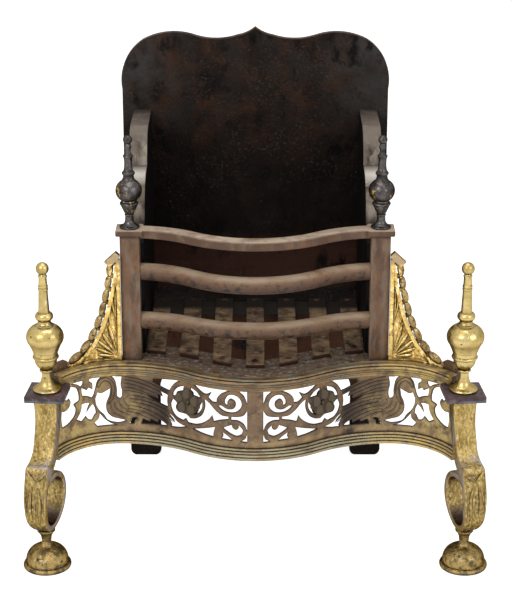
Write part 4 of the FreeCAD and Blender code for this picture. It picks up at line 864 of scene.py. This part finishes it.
def sawn(form, cutter):
    holders = []
    for name, solid in (("sheet", form), ("saw", cutter)):
        mesh = bpy.data.meshes.new(name)
        solid.to_mesh(mesh)
        solid.free()
        holder = bpy.data.objects.new(name, mesh)
        bpy.context.scene.collection.objects.link(holder)
        holders.append(holder)
    piercing = holders[0].modifiers.new("piercing", "BOOLEAN")
    piercing.operation = "DIFFERENCE"
    piercing.solver = "EXACT"
    piercing.object = holders[1]
    result = bpy.data.meshes.new_from_object(holders[0].evaluated_get(bpy.context.evaluated_depsgraph_get()))
    pierced = bmesh.new()
    pierced.from_mesh(result)
    for holder in holders:
        mesh = holder.data
        bpy.data.objects.remove(holder)
        bpy.data.meshes.remove(mesh)
    bpy.data.meshes.remove(result)
    return pierced


bronzed = browned("heat_browned_brass", edge=0.0028)
chased = browned("chased_brown_brass", edge=0.0002)
sheet = swept([(-FRET_THICK, FRET_BOTTOM), (0.0, FRET_BOTTOM), (0.0, FRET_TOP), (-FRET_THICK, FRET_TOP)],
              serpentine(HORN_TURN), REED_STEPS)
saw = bmesh.new()
for side in (-1, 1):
    for start, *stretches in FRET_WINDOWS:
        marks = sawn_line(start, *stretches)
        line = [saw.verts.new((side * p.x / 1000, SAW_FRONT, p.y / 1000)) for p in marks]
        cut = bmesh.ops.extrude_face_region(saw, geom=[saw.faces.new(line)])
        deep = [v for v in cut["geom"] if isinstance(v, bmesh.types.BMVert)]
        bmesh.ops.translate(saw, verts=deep, vec=(0, SAW_BACK - SAW_FRONT, 0))
bmesh.ops.recalc_face_normals(saw, faces=saw.faces)
placed(sawn(sheet, saw), "pierced_fret", bronzed, "apron_fret")
dressed("fret_cleats", chased)
for name, side in (("left", -1), ("right", 1)):
    lines = [([on_front(side, x / 1000, z / 1000, QUILL_LIFT) for x, z in feather], QUILL_THICK)
             for feather in FEATHERS]
    lines.append(([on_front(side, x / 1000, z / 1000, NECK_LIFT) for x, z in NECK], NECK_THICK))
    raised_lines("swan_chasing_" + name, lines, chased)
    form = bmesh.new()
    for i in range(PETALS):
        t = math.radians(90 + 360 / PETALS * i)
        x = FLOWER[0] + PETAL_SPREAD * math.cos(t)
        z = FLOWER[1] + PETAL_SPREAD * math.sin(t)
        dome(form, on_front(side, x, z, PETAL_LIFT), PETAL_SIZE, PETAL_RISE)
    dome(form, on_front(side, *FLOWER, 0.0), BOSS_SIZE, BOSS_RISE)
    placed(form, "fret_flower_" + name, chased)


# Mouldings: drawn brass reeds above and below the fret, swept along the same serpentine. Rubbing
# has kept the crests gold, grey-green tarnish lies in streaks, and the quirks are darkened with
# painted shade.
reeded = new_finish("green_reeded_brass", metallic=0.6, roughness=0.46)
horn_gold = meet(reeded, outward(reeded, 0.15, 0.25), cloud(reeded, 0.016, 0.38, 0.56, 8.0, shift=8.0))
low_pale = meet(reeded, below(reeded, 0.224, 0.218),
                cloud(reeded, 0.014, 0.32, 0.54, 8.0, stretch=(0.4, 0.4, 2.0), shift=1.5))
coats(reeded, (0.265, 0.170, 0.078),
      ((0.105, 0.066, 0.036), cloud(reeded, 0.024, 0.44, 0.64, 9.0, stretch=(0.5, 0.5, 2.0))),
      ((0.225, 0.212, 0.160), cloud(reeded, 0.010, 0.48, 0.62, 8.0, stretch=(0.3, 0.3, 3.0), shift=3.0)),
      ((0.330, 0.165, 0.048), cloud(reeded, 0.014, 0.58, 0.72, 7.0, stretch=(0.5, 0.5, 2.0), shift=6.0)),
      ((0.340, 0.295, 0.185), low_pale),
      ((0.500, 0.360, 0.135), horn_gold),
      # painted shade in the quirks
      ((0.030, 0.020, 0.014), painted_hollow_shade(reeded, 0.0055, 0.40, 0.90)))
relief(reeded, (0.0010, cloud(reeded, 0.005, 0.35, 0.75, 6.0)))
LEDGE_TURN = math.radians(58.0)
FILLET_TURN = math.radians(40.0)
TOP_REEDS = turning(
    (0.0, 0.0), [(3.0, 0.0)], [(5.8, 1.9), (3.4, 3.7)], [(3.4, 4.2)], [(7.3, 6.2), (4.7, 8.2)],
    [(4.7, 8.7)], [(9.2, 10.9), (6.6, 13.0)], [(5.6, 13.5)], [(7.6, 15.4), (5.0, 17.0)], [(-2.0, 17.0)],
    [(-2.6, 15.8)], [(-5.4, 15.8)], [(-6.0, 17.0)], [(-8.0, 17.0)], [(-8.0, 14.0)], [(0.0, 14.0)])
FILLET = [(0.0, -4.5), (3.0, -4.5), (3.0, -0.6), (2.4, 0.0), (0.0, 0.0)]
BOTTOM_REEDS = turning(
    (-6.2, 0.0), [(7.0, 0.0)], [(9.9, 2.6), (7.2, 5.0)], [(6.2, 5.4)], [(8.9, 7.6), (5.6, 9.6)],
    [(4.8, 10.0)], [(7.0, 11.9), (3.8, 13.7)], [(3.0, 14.0)], [(4.2, 16.4), (1.0, 18.0)], [(-6.2, 18.0)])
BOTTOM_SEAT = node_box("bottom_moulding")[0].z


def drawn(outline, seat, horn):
    return swept([(o / 1000, seat + h / 1000) for o, h in outline], serpentine(horn), REED_STEPS)


for node, outline, seat, horn in (("top_moulding", TOP_REEDS, FRET_TOP, LEDGE_TURN),
                                  ("bottom_moulding", BOTTOM_REEDS, BOTTOM_SEAT, HORN_TURN)):
    placed(drawn(outline, seat, horn), node + "_reeds", reeded, node)
placed(drawn(FILLET, FRET_TOP, FILLET_TURN), "top_fillet", reeded)


# Wings: cast-brass spandrels on the base plate between post and leg. A field with a sunburst and
# long leaves lies inside raised borders, and a string of lumpy beads hangs along the hollow edge
# from a grey-brown head block to a brown toe block.
winged = new_finish("rubbed_cast_brass", metallic=0.9, roughness=0.4, edge_tint=(0.24, 0.18, 0.10))
wing_dull = cloud(winged, 0.016, 0.42, 0.66, 9.0)
wing_head = above(winged, 0.490, 0.494)
wing_toe = meet(winged, outward(winged, 0.298, 0.302), below(winged, 0.350, 0.344))
coats(winged, (0.800, 0.570, 0.180),
      ((0.500, 0.315, 0.090), wing_dull),
      # painted highlight: pale gold glints scattered over the casting
      ((0.960, 0.770, 0.400), cloud(winged, 0.008, 0.52, 0.64, 6.0, shift=8.0)),
      ((0.090, 0.052, 0.024), cloud(winged, 0.006, 0.58, 0.68, 5.0, shift=2.0)),
      # painted shade in the hollows
      ((0.085, 0.048, 0.017), painted_hollow_shade(winged, 0.007, 0.42, 0.84)),
      ((0.400, 0.290, 0.165), wing_head),
      ((0.190, 0.128, 0.080), wing_toe))
sheen_range(winged, wing_dull, 0.28, 0.5)
relief(winged, (0.0009, cloud(winged, 0.006, 0.35, 0.75, 5.0)),
       (0.0012, cloud(winged, 0.016, 0.3, 0.7, 3.0, shift=6.0)))
beaded = new_finish("brown_bead_brass", metallic=0.85, roughness=0.42)
coats(beaded, (0.400, 0.275, 0.105),
      ((0.160, 0.095, 0.040), cloud(beaded, 0.012, 0.44, 0.62, 8.0)),
      ((0.560, 0.450, 0.220), cloud(beaded, 0.008, 0.54, 0.66, 6.0, shift=5.0)),
      ((0.040, 0.024, 0.014), cloud(beaded, 0.005, 0.56, 0.66, 4.0, shift=2.0)),
      # painted shade in the hollows between the beads
      ((0.030, 0.017, 0.010), painted_hollow_shade(beaded, 0.006, 0.40, 0.92)))
relief(beaded, (0.0016, cloud(beaded, 0.007, 0.35, 0.75, 5.0)))
STRING_BACK = 0.128
FIELD_BACK = 0.1263
WING_EDGE = ((0.2312, 0.494), (0.2350, 0.462), (0.2411, 0.434), (0.2481, 0.407), (0.2583, 0.381),
             (0.2704, 0.3585), (0.2838, 0.3433), (0.2992, 0.3332))
HEAD_LOW = 0.478
HEAD_FULL = 0.490
HEAD_DROP = 0.0089
HEAD_SLOPE = 0.35
HEAD_KEEP = 0.85
HEAD_CORNER = max((v.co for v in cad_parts["wing_right"].data.vertices if v.co.z > HEAD_FULL),
                  key=lambda c: c.x)
BEAD_COUNT = 8
BEAD_THICK = 0.0058
BEAD_HALF = 0.54
BEAD_SWELL = (0.78, 0.86, 0.94, 0.90, 1.08, 1.02, 1.20, 1.12)
SUN = (0.2225, 0.333)
SUN_RAYS = ((10, 0.032), (26, 0.040), (43, 0.043), (60, 0.047), (76, 0.056))
RAY_MARKS = (0.22, 0.5, 0.8, 1.0)
RAY_THICK = (0.0008, 0.0021, 0.0036, 0.0012)
LEAF_TIP = 0.0008
LEAF_NECK = 0.0017
WING_LEAVES = (
    (0.0019, ((0.2255, 0.404), (0.2310, 0.424), (0.2285, 0.450), (0.2255, 0.476))),
    (0.0017, ((0.2245, 0.398), (0.2250, 0.420), (0.2245, 0.445), (0.2240, 0.470))),
    (0.0019, ((0.2330, 0.388), (0.2360, 0.402), (0.2350, 0.420), (0.2315, 0.438))),
)


def on_horn(side, x, z, back):
    return Vector((side * x, HORN_Y + math.sqrt(back ** 2 - (x - FLANK_X) ** 2), z))


def head_seated(place):
    share = min(max((place.z - HEAD_LOW) / (HEAD_FULL - HEAD_LOW), 0.0), 1.0)
    leaning = (HEAD_CORNER.z - HEAD_DROP + HEAD_SLOPE * (HEAD_CORNER.x - abs(place.x))
               + HEAD_KEEP * (place.z - HEAD_CORNER.z))
    return Vector((place.x, place.y, place.z + share * (leaning - place.z)))


def sun_ray(angle, reach):
    t = math.radians(angle)
    return [(SUN[0] + reach * s * math.cos(t), SUN[1] + reach * s * math.sin(t)) for s in RAY_MARKS]


def chiselled(side, marks, thick):
    return [on_horn(side, x, z, FIELD_BACK) for x, z in marks], thick


for name, side in (("left", -1), ("right", 1)):
    dressed("wing_" + name, winged, reshaped=head_seated)
    form = bmesh.new()
    marks = spaced(WING_EDGE, BEAD_COUNT)
    for (x0, z0), (x1, z1), swell in zip(marks, marks[1:], BEAD_SWELL):
        start = on_horn(side, x0, z0, STRING_BACK)
        end = on_horn(side, x1, z1, STRING_BACK)
        way = end - start
        bead = bmesh.ops.create_uvsphere(form, u_segments=20, v_segments=14, radius=1.0)
        bead_size = (BEAD_THICK * swell, BEAD_THICK, way.length * BEAD_HALF)
        bmesh.ops.scale(form, verts=bead["verts"], vec=bead_size)
        bmesh.ops.rotate(form, verts=bead["verts"], cent=(0, 0, 0),
                         matrix=way.to_track_quat("Z", "Y").to_matrix())
        bmesh.ops.translate(form, verts=bead["verts"], vec=(start + end) / 2)
    placed(form, "wing_beads_" + name, beaded)
    lines = [chiselled(side, sun_ray(angle, reach), RAY_THICK) for angle, reach in SUN_RAYS]
    lines += [chiselled(side, marks, (LEAF_TIP, swell, LEAF_NECK, LEAF_TIP)) for swell, marks in WING_LEAVES]
    raised_lines("wing_sunburst_" + name, lines, winged)


# Studio: a pale floor that shows white to the lens and to the metal and keeps the grate's soft
# shadow, three large soft lamps and a plain world.
FLOOR_SIZE = 12.0
FLOOR_GLOW = 0.70
WORLD_DIM = 0.42
WORLD_BRIGHT = 1.0


def seen_rays(owner):
    rays = added(owner, "LightPath", {}).outputs
    seen = rays["Is Camera Ray"]
    for kind in ("Is Glossy Ray", "Is Transmission Ray"):
        seen = added(owner, "Math", {0: seen, 1: rays[kind]}, operation="MAXIMUM").outputs["Value"]
    return seen


floor_finish = new_finish("studio_white", metallic=0.0, roughness=0.9)
skin(floor_finish, "Base Color").default_value = (0.86, 0.86, 0.86, 1)
skin(floor_finish, "Emission Color").default_value = (1, 1, 1, 1)
floor_glow = meet(floor_finish, seen_rays(floor_finish), FLOOR_GLOW)
floor_finish.node_tree.links.new(floor_glow, skin(floor_finish, "Emission Strength"))
floor_form = bmesh.new()
bmesh.ops.create_grid(floor_form, x_segments=1, y_segments=1, size=FLOOR_SIZE)
floor_mesh = bpy.data.meshes.new("studio_floor")
floor_form.to_mesh(floor_mesh)
floor_form.free()
floor_mesh.materials.append(floor_finish)
floor = bpy.data.objects.new("studio_floor", floor_mesh)
bpy.context.scene.collection.objects.link(floor)

world = bpy.data.worlds.new("studio_world")
bpy.context.scene.world = world
world.use_nodes = True
backdrop = world.node_tree.nodes["Background"].inputs
backdrop["Color"].default_value = (1, 1, 1, 1)
world_level = added(world, "MapRange", {"Value": seen_rays(world), "To Min": WORLD_DIM,
                                       "To Max": WORLD_BRIGHT})
world.node_tree.links.new(world_level.outputs["Result"], backdrop["Strength"])


def soft_lamp(name, place, aim, size, power):
    lamp = bpy.data.lights.new(name, "AREA")
    lamp.shape = "RECTANGLE"
    lamp.size = size[0]
    lamp.size_y = size[1]
    lamp.energy = power
    holder = bpy.data.objects.new(name, lamp)
    holder.location = place
    holder.rotation_euler = (Vector(aim) - Vector(place)).to_track_quat("-Z", "Y").to_euler()
    bpy.context.scene.collection.objects.link(holder)


soft_lamp("key_lamp", place=(-1.6, -2.4, 2.3), aim=(0, 0, 0.4), size=(1.4, 1.4), power=42)
soft_lamp("fill_lamp", place=(2.0, -2.0, 1.7), aim=(0, 0, 0.4), size=(1.2, 1.6), power=22)
soft_lamp("top_lamp", place=(0.0, -0.3, 2.8), aim=(0, 0, 0.3), size=(1.6, 1.2), power=22)


# Camera: a long lens at standing height, some three metres back and tilted down on the front of
# the grate, a hair to the right of its middle.
EYE_BACK = 3.0105
EYE_HEIGHT = 1.5
EYE_ASIDE = 0.0012
EYE_TILT = 20.2
LENS_MM = 116.0
SENSOR_MM = 36.0
lens = bpy.data.cameras.new("studio_camera")
lens.lens = LENS_MM
lens.sensor_width = SENSOR_MM
eye = bpy.data.objects.new("studio_camera", lens)
eye.location = (EYE_ASIDE, -EYE_BACK, EYE_HEIGHT)
eye.rotation_euler = (math.radians(90 - EYE_TILT), 0, 0)
bpy.context.scene.collection.objects.link(eye)
bpy.context.scene.camera = eye
bpy.context.scene.view_settings.view_transform = "Standard"
